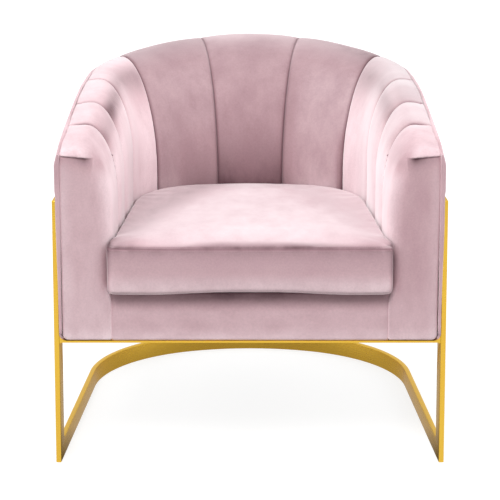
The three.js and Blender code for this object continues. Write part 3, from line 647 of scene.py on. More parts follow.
def velvet_paint(name, light, dark, stretch=UPRIGHT_STROKES, sheen_colour=VELVET_SHEEN_COLOUR, painted_sheen=0.64, stitches=()):
    """Velvet whose tone wanders between two colours, with painted light and shade from each point's values, a
    painted sheen where the surface is seen edge-on, and painted shade in seams.
    """
    paint = Paint(name)
    place = paint.node("Mapping", None, paint.place, Scale=stretch)
    patches = paint.node("TexNoise", None, place, Scale=9, Detail=3, Roughness=0.55)
    strokes = paint.node("TexNoise", None, place, Scale=34, Detail=4, Roughness=0.6)
    pile = paint.node("TexNoise", None, paint.place, Scale=900, Detail=2)
    tufts = paint.node("TexNoise", None, paint.place, Scale=260, Detail=2)
    # Each point's painted shade in seams and painted light and shade, read from the mesh: painted light
    # lightens the tone towards a pale colour, painted shade darkens it.
    crease = paint.node("Attribute", {"attribute_name": "crease"}, output=2)
    nap = paint.node("Attribute", {"attribute_name": "nap"}, output=2)
    nap = nap * (strokes * 1.2 + 0.4)
    painted_highlight = paint.node("MapRange", None, nap, 0, 1, 0, 1)
    painted_shade = paint.node("MapRange", None, nap, 0, -1, 0, 1)
    lean = paint.node("MapRange", None, patches * 0.55 + strokes * 0.45, 0.36, 0.64, 0.05, 0.95)
    tone = paint.blend(lean, linear(*dark), linear(*light))
    tone = paint.blend(painted_highlight, tone, PAINTED_HIGHLIGHT_COLOUR)
    tone = paint.blend(painted_shade, tone, PAINTED_SHADE_COLOUR)
    speck = paint.node("MapRange", None, pile * 0.4 + tufts * 0.6, 0.3, 0.7, 0.93, 1.06)
    height = pile * 0.6 + strokes * 0.4
    for level in stitches:
        line = stitch_line(paint, level, THREAD) * THREAD_WEIGHT
        speck = speck * (1 - line * 0.35)
        height = height - line * 1.5
    paint.set(
        Base_Color=paint.node("VectorMath", {"operation": "SCALE"}, tone, Scale=speck),
        Roughness=lean * 0.1 + 0.72,
        Specular_IOR_Level=0.12,
        Sheen_Weight=1.0,
        Sheen_Roughness=0.4,
        Sheen_Tint=(*sheen_colour, 1),
    )
    paint.bump(height, distance=0.0007, strength=0.35)
    # A painted sheen: a paler shader mixed in where the surface is turned away from the camera, less under
    # painted shade.
    facing = paint.node("LayerWeight", None, 0.5, output=1)
    along = paint.node("MapRange", {"interpolation_type": "SMOOTHSTEP"}, facing, 0.32, 0.95, 0.0, painted_sheen)
    paint.mix_in(
        along * (lean * 0.8 + 0.6) * (1 - painted_shade),
        Base_Color=(*sheen_colour, 1), Roughness=0.8, Specular_IOR_Level=0.1, Sheen_Weight=1.0, Sheen_Roughness=0.4,
    )
    # A dark matte shader mixed in paints shade in the seams and other dark places.
    paint.mix_in(crease, Base_Color=(*DEEP_SHADE_COLOUR, 1), Roughness=0.95, Specular_IOR_Level=0.05)
    return paint.material


# Lit and shaded copies of one velvet: the back darker, as in shade, the arms paler, as where light falls, and
# the right arm paler still, with a whiter sheen.
velvet_back_shaded = velvet_paint("velvet_back_shaded", (177, 148, 153), (158, 128, 134))
velvet_arm_lit = velvet_paint("velvet_arm_lit", (216, 185, 191), (204, 171, 177))
velvet_right_lit = velvet_paint("velvet_right_lit", (216, 189, 194), (206, 177, 182), sheen_colour=SEAT_SHEEN_COLOUR)
velvet_flat = velvet_paint("velvet_flat", (208, 175, 181), (192, 157, 164), (0.6, 1, 1))
velvet_upright = velvet_paint("velvet_upright", (208, 175, 181), (192, 157, 164))
velvet_cushion = velvet_paint(
    "velvet_cushion", (208, 175, 181), (198, 164, 171), (0.8, 0.5, 1), SEAT_SHEEN_COLOUR, stitches=CUSHION_STITCHES)
print("velvet ready")

# %% [markdown]
# The frame is steel with a thin gold-coloured plating, polished but not a perfect mirror. A metal
# shows only what it reflects, so most of its look comes from the studio. Very fine scratches
# along the bar soften the reflection, and faint clouds in the roughness keep it from looking drawn.

# %% Gilt steel
GILT = linear(222, 182, 60)
GILT_DEEP = linear(206, 160, 44)

gilt_paint = Paint("gilt_steel")
clouds = gilt_paint.node("TexNoise", None, gilt_paint.place, Scale=6, Detail=4)
drawn_place = gilt_paint.node("Mapping", None, gilt_paint.place, Scale=(40, 40, 900))
scratches = gilt_paint.node("TexNoise", None, drawn_place, Scale=1, Detail=3)
gilt_paint.set(
    Base_Color=gilt_paint.blend(clouds, GILT_DEEP, GILT),
    Metallic=1.0,
    Roughness=gilt_paint.node("MapRange", None, clouds * 0.6 + scratches * 0.4, 0.3, 0.7, 0.22, 0.34),
    Specular_Tint=(*linear(253, 232, 178), 1),
    Coat_Weight=0.35,
    Coat_Roughness=0.12,
    Coat_IOR=1.6,
)
gilt_paint.bump(scratches, distance=0.00004, strength=0.15)
gilt = gilt_paint.material
print("gilt ready")

# %% [markdown]
# Under the velvet are the things that carry it: plywood ribs and rails, hardboard panels, wadding,
# foam, black cloth, and the springs, clips and screws. They show only from below or where the
# cushion is lifted, and each still has the surface of its own stuff, such as grain or fibres.


# %% Finishes of the hidden pieces
def grained(name, light, dark, scale, stretch, roughness, bump):
    """Wood or board: streaks along the height with fine pores."""
    paint = Paint(name)
    place = paint.node("Mapping", None, paint.place, Scale=stretch)
    rings = paint.node("TexNoise", None, place, Scale=scale, Detail=5, Roughness=0.6, Distortion=0.6)
    pores = paint.node("TexNoise", None, place, Scale=scale * 14, Detail=2)
    tone = paint.node("MapRange", None, rings * 0.75 + pores * 0.25, 0.35, 0.65, 0, 1)
    paint.set(Base_Color=paint.blend(tone, linear(*dark), linear(*light)), Roughness=tone * -0.12 + roughness)
    paint.bump(pores, distance=bump, strength=0.4)
    return paint.material


def fibrous(name, light, dark, scale, roughness, bump, sheen=0.0):
    """Foam, felt or cloth: cells or fibres at one fine scale over slow clouds."""
    paint = Paint(name)
    cells = paint.node("TexVoronoi", None, paint.place, Scale=scale)
    clouds = paint.node("TexNoise", None, paint.place, Scale=12, Detail=3)
    tone = paint.node("MapRange", None, clouds * 0.5 + cells * 0.5, 0.2, 0.7, 0, 1)
    paint.set(
        Base_Color=paint.blend(tone, linear(*dark), linear(*light)),
        Roughness=tone * 0.1 + roughness,
        Sheen_Weight=sheen,
    )
    paint.bump(cells, distance=bump, strength=0.5)
    return paint.material


def plated(name, light, dark, low, high):
    """Plain steel with cloudy plating and drawn scratches."""
    paint = Paint(name)
    clouds = paint.node("TexNoise", None, paint.place, Scale=60, Detail=4)
    place = paint.node("Mapping", None, paint.place, Scale=(900, 60, 900))
    drawn = paint.node("TexNoise", None, place, Scale=1)
    paint.set(
        Base_Color=paint.blend(clouds, linear(*dark), linear(*light)),
        Metallic=1.0,
        Roughness=paint.node("MapRange", None, clouds * 0.7 + drawn * 0.3, 0.3, 0.7, low, high),
    )
    paint.bump(drawn, distance=0.00005, strength=0.3)
    return paint.material


timber = grained("timber", (214, 180, 132), (184, 144, 98), 9, (6, 6, 0.7), 0.7, 0.0003)
hardboard = grained("hardboard", (140, 102, 70), (112, 78, 50), 60, (1, 1, 1), 0.72, 0.0002)
felt = fibrous("felt", (206, 192, 182), (180, 164, 156), 420, 0.86, 0.0006, sheen=0.3)
black_cloth = fibrous("black_cloth", (26, 26, 28), (12, 12, 14), 700, 0.85, 0.0003)
foam = fibrous("foam", (240, 234, 214), (222, 212, 184), 500, 0.85, 0.0008)
zinc = plated("zinc_steel", (196, 198, 202), (158, 160, 166), 0.3, 0.48)
spring_steel = plated("spring_steel", (98, 102, 108), (58, 60, 66), 0.35, 0.55)
zip_tape = fibrous("zip_tape", (176, 144, 152), (152, 120, 128), 900, 0.8, 0.0002)
print("hidden finishes ready")

# %% [markdown]
# The hoop on the floor and the band round the tub are one flat bar each, bent on edge round a
# form. They are drawn by carrying a small rounded rectangle along the plan curve. The bar's
# corners are rounded by about a millimetre, which is what catches the light along the whole bend.

# %% Hoop and band
PLATE_REACH = 57 * MM
EDGE_ROUND = 1.2 * MM
STEEL_CREASE = 40
HOOP_HEIGHT = 36 * MM
BAND_LOW = 492 * MM
PLATE_TOP = 530 * MM


def rounded_bar(thickness, low, high, radius, steps=3):
    """The bar's section as points (inset, height), with rounded corners."""
    corners = [(thickness, high, 0), (0, high, 90), (0, low, 180), (thickness, low, 270)]
    points = []
    for x, z, first in corners:
        centre_x = x - radius if x else radius
        centre_z = z - radius if z == high else z + radius
        for step in range(steps + 1):
            angle = math.radians(first + 90 * step / steps)
            points.append((centre_x + radius * math.cos(angle), centre_z + radius * math.sin(angle)))
    return points


def bent_bar(name, low, high, node):
    first = PLATE_REACH / frame_plan.half_length
    shares = np.linspace(first, 2 - first, 181)
    section = rounded_bar(BAR, low, high, EDGE_ROUND)
    loops = [Station(share, share).place_outside(section) for share in shares]
    finish_piece(make_mesh(name, *loft_form(loops)), gilt, "chair_frame", [node], STEEL_CREASE)


bent_bar("gilt_base_hoop", 0, HOOP_HEIGHT, "base_hoop")
bent_bar("gilt_upper_band", BAND_LOW, PLATE_TOP, "upper_band")

# %% [markdown]
# Each upright is cut from plate as a long letter C: its foot and its head reach back a little,
# with a rounded inner corner, and the bent bars are welded on there and ground flush. The ends
# of the C get no rounding, so that plate and bar read as one piece of metal.

# %% Uprights
PLATE_CORNER = 12 * MM
WELD_MARGIN = 2 * MM


def upright_outline():
    """Points (run, height) of the plate, with round inner corners at its foot and its head."""
    points = [(0, 0), (PLATE_REACH, 0), (PLATE_REACH, HOOP_HEIGHT)]
    lower = (HOOP_HEIGHT + PLATE_CORNER, range(-105, -181, -15))
    upper = (BAND_LOW - PLATE_CORNER, range(180, 89, -15))
    for height, angles in (lower, upper):
        for angle in map(math.radians, angles):
            across, up = PLATE_CORNER * math.cos(angle), PLATE_CORNER * math.sin(angle)
            points.append((PLATE_REACH + across, height + up))
    return points + [(PLATE_REACH, PLATE_TOP), (0, PLATE_TOP)]


def add_upright(side, name):
    outline = upright_outline()
    count = len(outline)
    points = []
    for inset in (0, BAR):
        for run, height in outline:
            x, y = frame_plan.start + frame_plan.along * run + frame_plan.inward * inset
            points.append((x * side, y, height))
    faces = [tuple(range(count)), tuple(range(2 * count - 1, count - 1, -1))]
    faces += [(i, (i + 1) % count, (i + 1) % count + count, i + count) for i in range(count)]
    piece = make_mesh("gilt_" + name, points, faces)
    form = bmesh.new()
    form.from_mesh(piece.data)
    rounded = []
    for edge in form.edges:
        depths = [vert.co.y + FRONT_SHIFT for vert in edge.verts]
        on_weld = all(depth > PLATE_REACH * frame_plan.along[1] - WELD_MARGIN for depth in depths)
        if not on_weld and edge.calc_face_angle(0) > math.radians(30):
            rounded.append(edge)
    bmesh.ops.bevel(form, geom=rounded, offset=EDGE_ROUND, segments=3, profile=0.5, affect="EDGES")
    form.to_mesh(piece.data)
    form.free()
    finish_piece(piece, gilt, "chair_frame", [name], STEEL_CREASE)


add_upright(1, "upright_left")
add_upright(-1, "upright_right")

# %% [markdown]
# The channels are padded tubes of velvet, sewn down between them, that start at the outer top
# edge, roll over the crest and run down to the seat. Each one is a closed form between two
# seams. Its face swells between them: little on top, more where it faces the sitter. Close to a
# seam the cloth dives into it, and small puckers cross the seam where the thread draws it in.

# %% Section of a channel
OUTER_EDGES = (0.118, 0.236, 0.4065, 0.657, 0.8849)
INNER_EDGES = (0.183, 0.324, 0.518, 0.707, 0.901)
PAD_DEPTH = 16 * MM
LIP = 2.7 * MM
TOP_ROUND = 7 * MM
FOOT = DECK + 0.5 * MM


def channel_section(station, edge_rows=8, crest_rows=8, roll_rows=56, face_rows=26):
    """Points (x, z) of a channel's face from its outer edge to its foot."""
    points = []
    for step in range(edge_rows):
        angle = math.pi / 2 * step / edge_rows
        inset, drop = 1 - math.cos(angle), 1 - math.sin(angle)
        points.append((LIP + TOP_ROUND * inset, station.edge - TOP_ROUND * drop))
    start = LIP + TOP_ROUND
    for step in range(crest_rows):
        t = step / crest_rows
        points.append((start + (CREST_INSET - start) * t, station.crest - CREST_RISE * (1 - t) ** 2))
    for step in range(roll_rows):
        points.append(station.roll(math.pi / 2 * step / roll_rows))
    top = station.crest - station.roll_drop
    for step in range(face_rows + 1):
        points.append((station.thickness, top + (FOOT - top) * step / face_rows))
    return np.array(points)


def seam_spread(count):
    """Places from 0 to 1, closer together near both ends."""
    even = np.linspace(0, 1, count)
    return 0.55 * even + 0.45 * (1 - np.cos(math.pi * even)) / 2


print("rows in a channel:", len(channel_section(Station(0.5, 0.5))))

# %% Making a channel
BROAD_SWELL = (2.2 * MM, 7.5 * MM)
SEAM_DIVE = (2.0 * MM, 4.0 * MM)
SEAM_WIDTH = 2.6 * MM
PUCKER = 0.45 * MM
PUCKER_LENGTH = 16 * MM
RIPPLE = 0.9 * MM
RIPPLE_LENGTH = 90 * MM
CREASE_REACH = 2.6 * MM

# The painted light of a side channel, by its number: the painted highlight low down, the painted
# shade where the roll turns, and the painted light or shade on top
SIDE_PAINTED_LIGHT = {
    2: (0.95, 0.35, 0.25),
    3: (1.0, 0.72, 0.2),
    4: (0.85, 0.56, 0),
    8: (0.65, 0.5, -0.3),
    9: (0.7, 0.4, -0.3),
    10: (0.95, 0, -0.1),
}


def swell(points, seed):
    """Draws a grid inward near its two seams. Also gives its normals and distances to a seam."""
    columns, rows = points.shape[:2]
    normals = grid_normals(points)
    run = np.linalg.norm(np.diff(points, axis=0), axis=2)
    from_first = np.vstack([np.zeros(rows), np.cumsum(run, axis=0)])
    total = from_first[-1]
    to_seam = np.minimum(from_first, total - from_first)
    share = from_first / total
    down = np.linspace(0, 1, rows)
    grow = ease(down, 0.05, 0.55)
    broad = BROAD_SWELL[0] + (BROAD_SWELL[1] - BROAD_SWELL[0]) * grow
    dive = SEAM_DIVE[0] + (SEAM_DIVE[1] - SEAM_DIVE[0]) * grow
    depth = broad * np.abs(2 * share - 1) ** 4 + dive * bell(to_seam, SEAM_WIDTH, 1.3)
    ripple = soft_noise(points, RIPPLE_LENGTH, seed).reshape(columns, rows) * RIPPLE
    depth *= ease(down, 0, 0.1)
    middle = ease(to_seam, 4 * MM, 30 * MM)
    pucker = soft_noise(points * np.array([1, 1, 1.6]), PUCKER_LENGTH, seed + 5).reshape(columns, rows)
    near = fading(to_seam, 9 * MM) * PUCKER
    amount = ripple * middle + pucker * near - depth
    return points + normals * amount[..., None], normals, to_seam


def channel_painted_light(columns, rows, number):
    """Painted light and shade of a channel, by its place across the channel and down it."""
    down = np.linspace(0, 1, rows)[None, :]
    across = np.linspace(0, 1, columns)[:, None]
    if number in SIDE_PAINTED_LIGHT:
        painted_highlight, painted_shade, top = SIDE_PAINTED_LIGHT[number]
        from_front = min(number, 12 - number)
        turn = bell(down - 0.48 + 0.035 * from_front, 0.085)
        nap = painted_highlight * ease(down, 0.42, 0.62) - painted_shade * turn + top * (1 - ease(down, 0.2, 0.32))
        return np.broadcast_to(nap, (columns, rows))
    # The back channels: painted shade on top, and painted light or shade low down, darkest low in the middle
    # channel.
    top = 1 - ease(down, 0.12, 0.35)
    middle = ease(down, 0.3, 0.45) * (1 - ease(down, 0.55, 0.7))
    low = ease(down, 0.52, 0.9)
    if number == 6:
        return -0.45 * top - low * (1.0 + 0.3 * bell(across, 0.35) + 0.15 * across ** 2)
    if number == 5:
        return -0.7 * top + 0.07 * middle + low * (0.2 - 0.5 * ease(across, 0.25, 0.65))
    near_arm = bell(1 - across, 0.12)
    by_seam = bell(across, 0.25)
    middle = middle * (0.15 - 0.25 * by_seam)
    return middle - top * (0.55 + 0.45 * across) + low * (0.48 - 0.9 * by_seam - near_arm)


def channel_form(outer_range, inner_range, columns, seed):
    spread = seam_spread(columns)
    outer = outer_range[0] + (outer_range[1] - outer_range[0]) * spread
    inner = inner_range[0] + (inner_range[1] - inner_range[0]) * spread
    stations = [Station(a, b) for a, b in zip(outer, inner)]
    face = np.array([station.place(channel_section(station)) for station in stations])
    front, normals, to_seam = swell(face, seed)
    back = face - normals * PAD_DEPTH
    return front, back, to_seam


def nearest_on_path(points, path):
    """For each point, its distance from a path and how far along the path that is."""
    best = np.full(len(points), 1e9)
    along = np.zeros(len(points))
    travelled = 0.0
    for start, end in zip(path[:-1], path[1:]):
        step = end - start
        length = np.linalg.norm(step)
        t = np.clip((points - start) @ step / max(length ** 2, 1e-12), 0, 1)
        distance = np.linalg.norm(points - (start + t[:, None] * step), axis=1)
        closer = distance < best
        best[closer] = distance[closer]
        along[closer] = travelled + t[closer] * length
        travelled += length
    return best, along, travelled


def seam_path(outer_share, inner_share):
    station = Station(outer_share, inner_share)
    return station.place(channel_section(station))


def mirror_edges(edges):
    return list(edges) + [2 - edge for edge in reversed(edges)]


outer_edges = mirror_edges(OUTER_EDGES)
inner_edges = mirror_edges(INNER_EDGES)
for channel in range(len(outer_edges) - 1):
    number = channel + 2
    outer_range, inner_range = outer_edges[channel:channel + 2], inner_edges[channel:channel + 2]
    front, back, to_seam = channel_form(outer_range, inner_range, 33, number)
    node = f"channel_pad_{number:02d}"
    piece = make_mesh(f"velvet_channel_{number:02d}", *closed_form(front, back))
    # Painted shade in the seams, darker low down, and the channel's painted light and shade.
    deeper = 0.25 * np.linspace(0, 1, front.shape[1])[None, :]
    crease = (0.5 + deeper) * bell(to_seam, CREASE_REACH)
    set_painted_deep_shade(piece, np.tile(crease.ravel(), 2))
    nap = channel_painted_light(*front.shape[:2], number)
    set_painted_light(piece, np.tile(nap.ravel(), 2))
    # The back channels take the shaded copy of the velvet, and the side channels the lit copies.
    velvet = velvet_back_shaded if number in (5, 6, 7) else velvet_arm_lit if number < 5 else velvet_right_lit
    upholster(piece, velvet, [node])

# %% [markdown]
# The first channel of each arm does not stop at a seam. It turns the corner at the front and
# becomes the flat front of the arm, with one soft round edge from the roll down to the seat. Only
# its top is sewn, in a short gathered seam that runs in from the outer corner and dies out in a
# small tuck. Such a form is easiest as two rough solids that overlap, the channel and the front,
# joined by a voxel remesh, which keeps only their common skin.

# %% Rough solids of an arm front
FACING_ROUND = 12 * MM
CORNER_ROUND = 32 * MM
SEAM_ROUND = 3 * MM
TOP_PUFF = 8 * MM
TURN_START = 52 * MM
TURN_END = 80 * MM
SHELL_DEPTH = 20 * MM
FRONT_REACH = 36 * MM
FRONT_DEPTHS = (0, 1, 3, 6, 10, 15, 21, 28, 36)
FACING_DEPTHS = (0, 1, 2.5, 4.5, 7, 9.5, 12)
FIRST_SEAM = (OUTER_EDGES[0], INNER_EDGES[0])
VOXEL = 3 * MM


def edge_round(x, z):
    """The radius of the front edge at a point of the section: tight at the seam, wide inside."""
    inside = ease(x, TURN_START, TURN_END)
    above_seat = ease(z, DECK - 25 * MM, DECK + 15 * MM)
    top = ease(z, ARM_HEIGHT - 24 * MM, ARM_HEIGHT - 10 * MM) * (1 - inside)
    return SEAM_ROUND + (CORNER_ROUND - SEAM_ROUND) * inside * above_seat + TOP_PUFF * top


def section_normals(section, closed):
    """Unit normals of a section that point into the solid."""
    if closed:
        tangent = np.roll(section, -1, axis=0) - np.roll(section, 1, axis=0)
    else:
        tangent = np.gradient(section, axis=0)
    tangent /= np.maximum(np.linalg.norm(tangent, axis=1, keepdims=True), 1e-12)
    return np.column_stack([tangent[:, 1], -tangent[:, 0]])


def inset_at(radius, depth):
    """How far a round front edge draws a section in at a depth behind the front."""
    missing = np.clip(radius - depth, 0, None)
    return radius - np.sqrt(np.clip(radius ** 2 - missing ** 2, 0, None))


def arm_station(depth):
    share = depth / frame_plan.half_length
    return Station(share, depth / seat_plan.half_length)


def shell_loops():
    """The channel of the arm as a shell, from the front to its first seam."""
    stations = [(depth * MM, arm_station(depth * MM)) for depth in FRONT_DEPTHS]
    first_outer = FRONT_REACH / frame_plan.half_length
    first_inner = FRONT_REACH / seat_plan.half_length
    for t in np.linspace(0, 1, 15)[1:]:
        station = Station(first_outer + (FIRST_SEAM[0] - first_outer) * t,
                          first_inner + (FIRST_SEAM[1] - first_inner) * t)
        stations.append((1.0, station))
    loops = []
    for depth, station in stations:
        section = channel_section(station)
        normals = section_normals(section, closed=False)
        inset = inset_at(edge_round(section[:, 0], section[:, 1]), depth)
        outside = section + normals * inset[:, None]
        inside = section + normals * (inset + SHELL_DEPTH)[:, None]
        loops.append(station.place(np.concatenate([outside, inside[::-1]])))
    return loops


def front_outline(station):
    """The whole outline of an arm front, from its outer foot over the top to its inner foot."""
    points = []
    for step in range(7):
        angle = math.pi / 2 * step / 6
        inset, rise = 1 - math.sin(angle), 1 - math.cos(angle)
        points.append((LIP + FACING_ROUND * inset, UNDERSIDE + FACING_ROUND * rise))
    start = points[-1]
    for step in range(1, 60):
        points.append((LIP, start[1] + (station.edge - TOP_ROUND - start[1]) * step / 60))
    section = channel_section(station)
    above = section[section[:, 1] > DECK + 5 * MM]
    low = above[-1, 1]
    points += [tuple(point) for point in above]
    points += [(station.thickness, low + (UNDERSIDE - low) * step / 24) for step in range(1, 25)]
    return np.array(points)


def front_loops():
    """The front of the arm as a plate with the same round edges."""
    loops = []
    for depth in FACING_DEPTHS:
        station = arm_station(depth * MM)
        outline = front_outline(station)
        normals = section_normals(outline, closed=True)
        inset = inset_at(edge_round(outline[:, 0], outline[:, 1]), depth * MM)
        loops.append(station.place(outline + normals * inset[:, None]))
    return loops


print("arm front outline:", len(front_outline(arm_station(0))), "points")


# %% One skin from the rough solids
def remeshed(piece, voxel):
    modifier = piece.modifiers.new("skin", "REMESH")
    modifier.mode = "VOXEL"
    modifier.voxel_size = voxel
    return apply_modifiers(piece)


def apply_modifiers(piece):
    """The piece's mesh as its modifiers leave it, with none left on it."""
    graph = bpy.context.evaluated_depsgraph_get()
    made = bpy.data.meshes.new_from_object(piece.evaluated_get(graph))
    piece.modifiers.clear()
    old = piece.data
    piece.data = made
    bpy.data.meshes.remove(old)
    return piece


def relaxed(piece, rounds, factor=0.5):
    modifier = piece.modifiers.new("relax", "SMOOTH")
    modifier.iterations = rounds
    modifier.factor = factor
    return apply_modifiers(piece)


def refined(piece):
    piece.modifiers.new("finer", "SUBSURF").levels = 1
    return apply_modifiers(piece)


def joined(name, forms):
    points, faces = [], []
    for form_points, form_faces in forms:
        shift = len(points)
        points += [tuple(point) for point in form_points]
        faces += [tuple(i + shift for i in face) for face in form_faces]
    return make_mesh(name, np.array(points), faces)


def vertex_normals(piece):
    return vectors(piece.data.vertex_normals, "vector")


def rough_arm_front(name):
    piece = joined(name, [loft_form(shell_loops()), loft_form(front_loops())])
    remeshed(piece, VOXEL)
    return relaxed(piece, 4)


arm_skin = rough_arm_front("velvet_arm_front_left")
print("arm front skin:", len(arm_skin.data.vertices), "vertices")

# %% [markdown]
# Seams come after the remesh, which would have closed them. Each seam is a line in space. The
# nearer a point of the skin is to the line, the deeper it is drawn in, and small folds cross the
# line where the cloth was gathered on its thread.


# %% Sewing the arm front
GATHER_DEPTH = 1.0 * MM
GATHER_WIDTH = 2.2 * MM
GATHER_FOLD = 0.9 * MM
GATHER_LENGTH = 7 * MM
GATHER_DROPS = (5 * MM, 11 * MM)
GATHER_END = 68 * MM
LIP_PUFF = 2.6 * MM
TUCK_DEPTH = 2.2 * MM
FACE_CROWN = 1.6 * MM
OUTWARD_LEAN = 2.5 * MM
ARM_SWELL = 5.5 * MM
RIGHT_SHADE = 0.14


def gather_path():
    """The sewn top edge of the left arm front, from its outer corner to its tuck."""
    path = []
    for t in np.linspace(0, 1, 24):
        x = LIP + (GATHER_END - LIP) * t
        drop = GATHER_DROPS[0] + (GATHER_DROPS[1] - GATHER_DROPS[0]) * t ** 1.4
        station = arm_station(inset_at(SEAM_ROUND + TOP_PUFF, drop))
        path.append(station.place([(x, ARM_HEIGHT - drop)])[0])
    return np.array(path)


def arm_front_painted_light(points, front):
    """Painted highlight over the seam, on the inner side, low on the front and at the hem; painted shade
    where the roll turns, and a painted shadow beside the cushion.
    """
    x, z = -points[:, 0], points[:, 2]
    turn = bell(np.hypot(x - 284 * MM, z - 615 * MM), 24 * MM) * (1 - front)
    inner = (1 - front) * (1 - ease(z, 550 * MM, 605 * MM)) * (1 - ease(x, 290 * MM, 308 * MM))
    crown = (1 - front) * ease(z, 590 * MM, 612 * MM)
    beside = bell(x - 277 * MM, 9 * MM) * ease(z, 338 * MM, 372 * MM) * (1 - ease(z, 410 * MM, 450 * MM))
    beside *= 1 - ease(points[:, 1], 20 * MM, 40 * MM)
    low = front * (1 - ease(z, 260 * MM, 420 * MM))
    outer = front * ease(x, 335 * MM, 360 * MM)
    hem = 1 - ease(z, UNDERSIDE + 2 * MM, UNDERSIDE + 9 * MM)
    foot = front * (1 - ease(z, 255 * MM, 282 * MM))
    pale = 0.95 * inner + 0.25 * crown + front * 0.12 + 0.15 * low + 0.15 * outer + 0.25 * foot + 0.2 * hem
    return pale - 0.22 * turn - 0.62 * beside


def sew_arm_front(piece, side, seed):
    """Sews the skin of an arm front. The right one is worked as a mirror image of the left."""
    refined(piece)
    mirror = np.array([side, 1, 1])
    points = chair_points(piece) * mirror
    normals = vertex_normals(piece) * mirror
    to_seam = nearest_on_path(points, seam_path(*FIRST_SEAM))[0]
    half = OUTER_EDGES[0] * frame_plan.half_length / 2
    broad = ARM_SWELL * np.clip(1 - to_seam / half, 0, 1) ** 4
    dive = SEAM_DIVE[1] * bell(to_seam, SEAM_WIDTH, 1.3)
    path = gather_path()
    to_gather, along, length = nearest_on_path(points, path)
    part = along / length
    line = np.interp(points[:, 0], path[:, 0], path[:, 2])
    fade = 1 - ease(part, 0.9, 1.0)
    groove = GATHER_DEPTH * bell(to_gather, GATHER_WIDTH, 1.5) * (0.15 + 0.85 * fade)
    folds = seam_noise(along, to_gather, 0.18, GATHER_LENGTH, seed)
    folds *= GATHER_FOLD * fading(to_gather, 8 * MM) * ease(to_gather, 0, 3 * MM)
    ripple = soft_noise(points, 100 * MM, seed + 2) * RIPPLE
    calm = 1 - fading(np.minimum(to_seam, to_gather), 15 * MM)
    front = np.clip(-normals[:, 1], 0, 1) ** 2
    inset = (points[:, :2] - frame_plan.start) @ frame_plan.inward
    off_edge = ease(inset, WALL_INSET + 4 * MM, WALL_INSET + 30 * MM)
    points += normals * (folds + ripple * calm - (broad + dive) * off_edge - groove)[:, None]
    above = ease(points[:, 2] - line, -1 * MM, 2 * MM)
    reach = 1 - ease(part, 0.96, 1.0) * ease(to_gather, 2 * MM, 8 * MM)
    points[:, 1] -= above * bell(to_gather, 9 * MM) * LIP_PUFF * reach
    below = (1 - above) * fading(to_gather, 16 * MM) * reach
    points[:, 1] += front * below * TUCK_DEPTH * (0.5 + 0.5 * ease(part, 0.1, 0.9))
    middle = np.sin(math.pi * np.clip((points[:, 2] - UNDERSIDE) / (ARM_HEIGHT - UNDERSIDE), 0, 1))
    points[:, 1] -= front * middle * FACE_CROWN
    outer_rim = ease(-points[:, 0], HALF_WIDTH - 40 * MM, HALF_WIDTH - 22 * MM)
    outer_rim *= 1 - ease(points[:, 1], 20 * MM, 80 * MM)
    points[:, 0] -= OUTWARD_LEAN * outer_rim * ease(points[:, 2], 340 * MM, 540 * MM)
    # Painted shade along the gathered seam and in the channel seam, a painted shadow under the lip, a painted
    # highlight on the lip, and painted shade over the whole right arm front.
    gathers = seam_noise(along, along, 0, GATHER_LENGTH / 2, seed + 4)
    gather_shade = (0.4 + 0.25 * gathers) * bell(to_gather, 1.8 * MM) * (0.3 + 0.7 * fade)
    set_painted_deep_shade(piece, np.maximum(0.6 * bell(to_seam, CREASE_REACH), gather_shade))
    shade = (1 - above) * front * fading(to_gather, 12 * MM) * reach
    shade *= 0.45 + 0.55 * ease(part, 0.3, 0.8)
    lip = above * (1 - ease(to_gather, 8 * MM, 60 * MM)) * (1 - ease(points[:, 0], -325 * MM, -300 * MM))
    set_painted_light(piece, arm_front_painted_light(points, front) + 0.35 * lip - shade - RIGHT_SHADE * (side < 0))
    set_points(piece, to_frame(points) * mirror)
    print(piece.name, "sewn")


def mirror_image(piece, name):
    mesh = piece.data.copy()
    mesh.name = name
    made = new_object(name, mesh)
    set_points(made, mesh_points(made) * np.array([-1, 1, 1]))
    mesh.flip_normals()
    return made


arm_pair = {"left": arm_skin, "right": mirror_image(arm_skin, "velvet_arm_front_right")}
for side, (word, channel) in {1: ("left", "01"), -1: ("right", "11")}.items():
    piece = arm_pair[word]
    sew_arm_front(piece, side, seed=3 if side > 0 else 8)
    upholster(piece, velvet_upright, [f"channel_pad_{channel}", f"arm_facing_{word}"])

# %% [markdown]
# The front panel under the seat is a plain padded strip between the two arm fronts. It is set a
# hair back at its ends, where its seams with the arms run straight down.

# %% Front panel
PANEL_HALF = 269 * MM
PANEL_TOP = 346 * MM
PANEL_DEPTH = 10 * MM
PANEL_ROUND = 3 * MM
PANEL_HEM = 2.5 * MM


def panel_points(columns=90, rows=34):
    """The face of the front panel as a grid: it turns back at all four edges."""
    across = np.linspace(-1, 1, columns)
    up = np.linspace(1, 0, rows)
    grid = np.zeros((columns, rows, 3))
    for c, u in enumerate(across):
        for r, v in enumerate(up):
            x = PANEL_HALF * u
            z = UNDERSIDE + (PANEL_TOP - UNDERSIDE) * v
            edge_x = PANEL_HALF - abs(x)
            edge_z = min(z - UNDERSIDE, PANEL_TOP - z)
            y = inset_at(PANEL_ROUND, edge_x) + inset_at(PANEL_HEM, edge_z)
            grid[c, r] = (x, y, z)
    return grid


panel = panel_points()
panel_ripple = soft_noise(panel, 0.08, 4).reshape(panel.shape[:2]) * 0.8 * MM
panel[..., 1] -= panel_ripple
panel_back = panel.copy()
panel_back[..., 1] = PANEL_DEPTH
front_panel = make_mesh("velvet_front_panel", *closed_form(panel, panel_back))
panel_across, _, panel_height = np.concatenate([panel, panel_back]).reshape(-1, 3).T
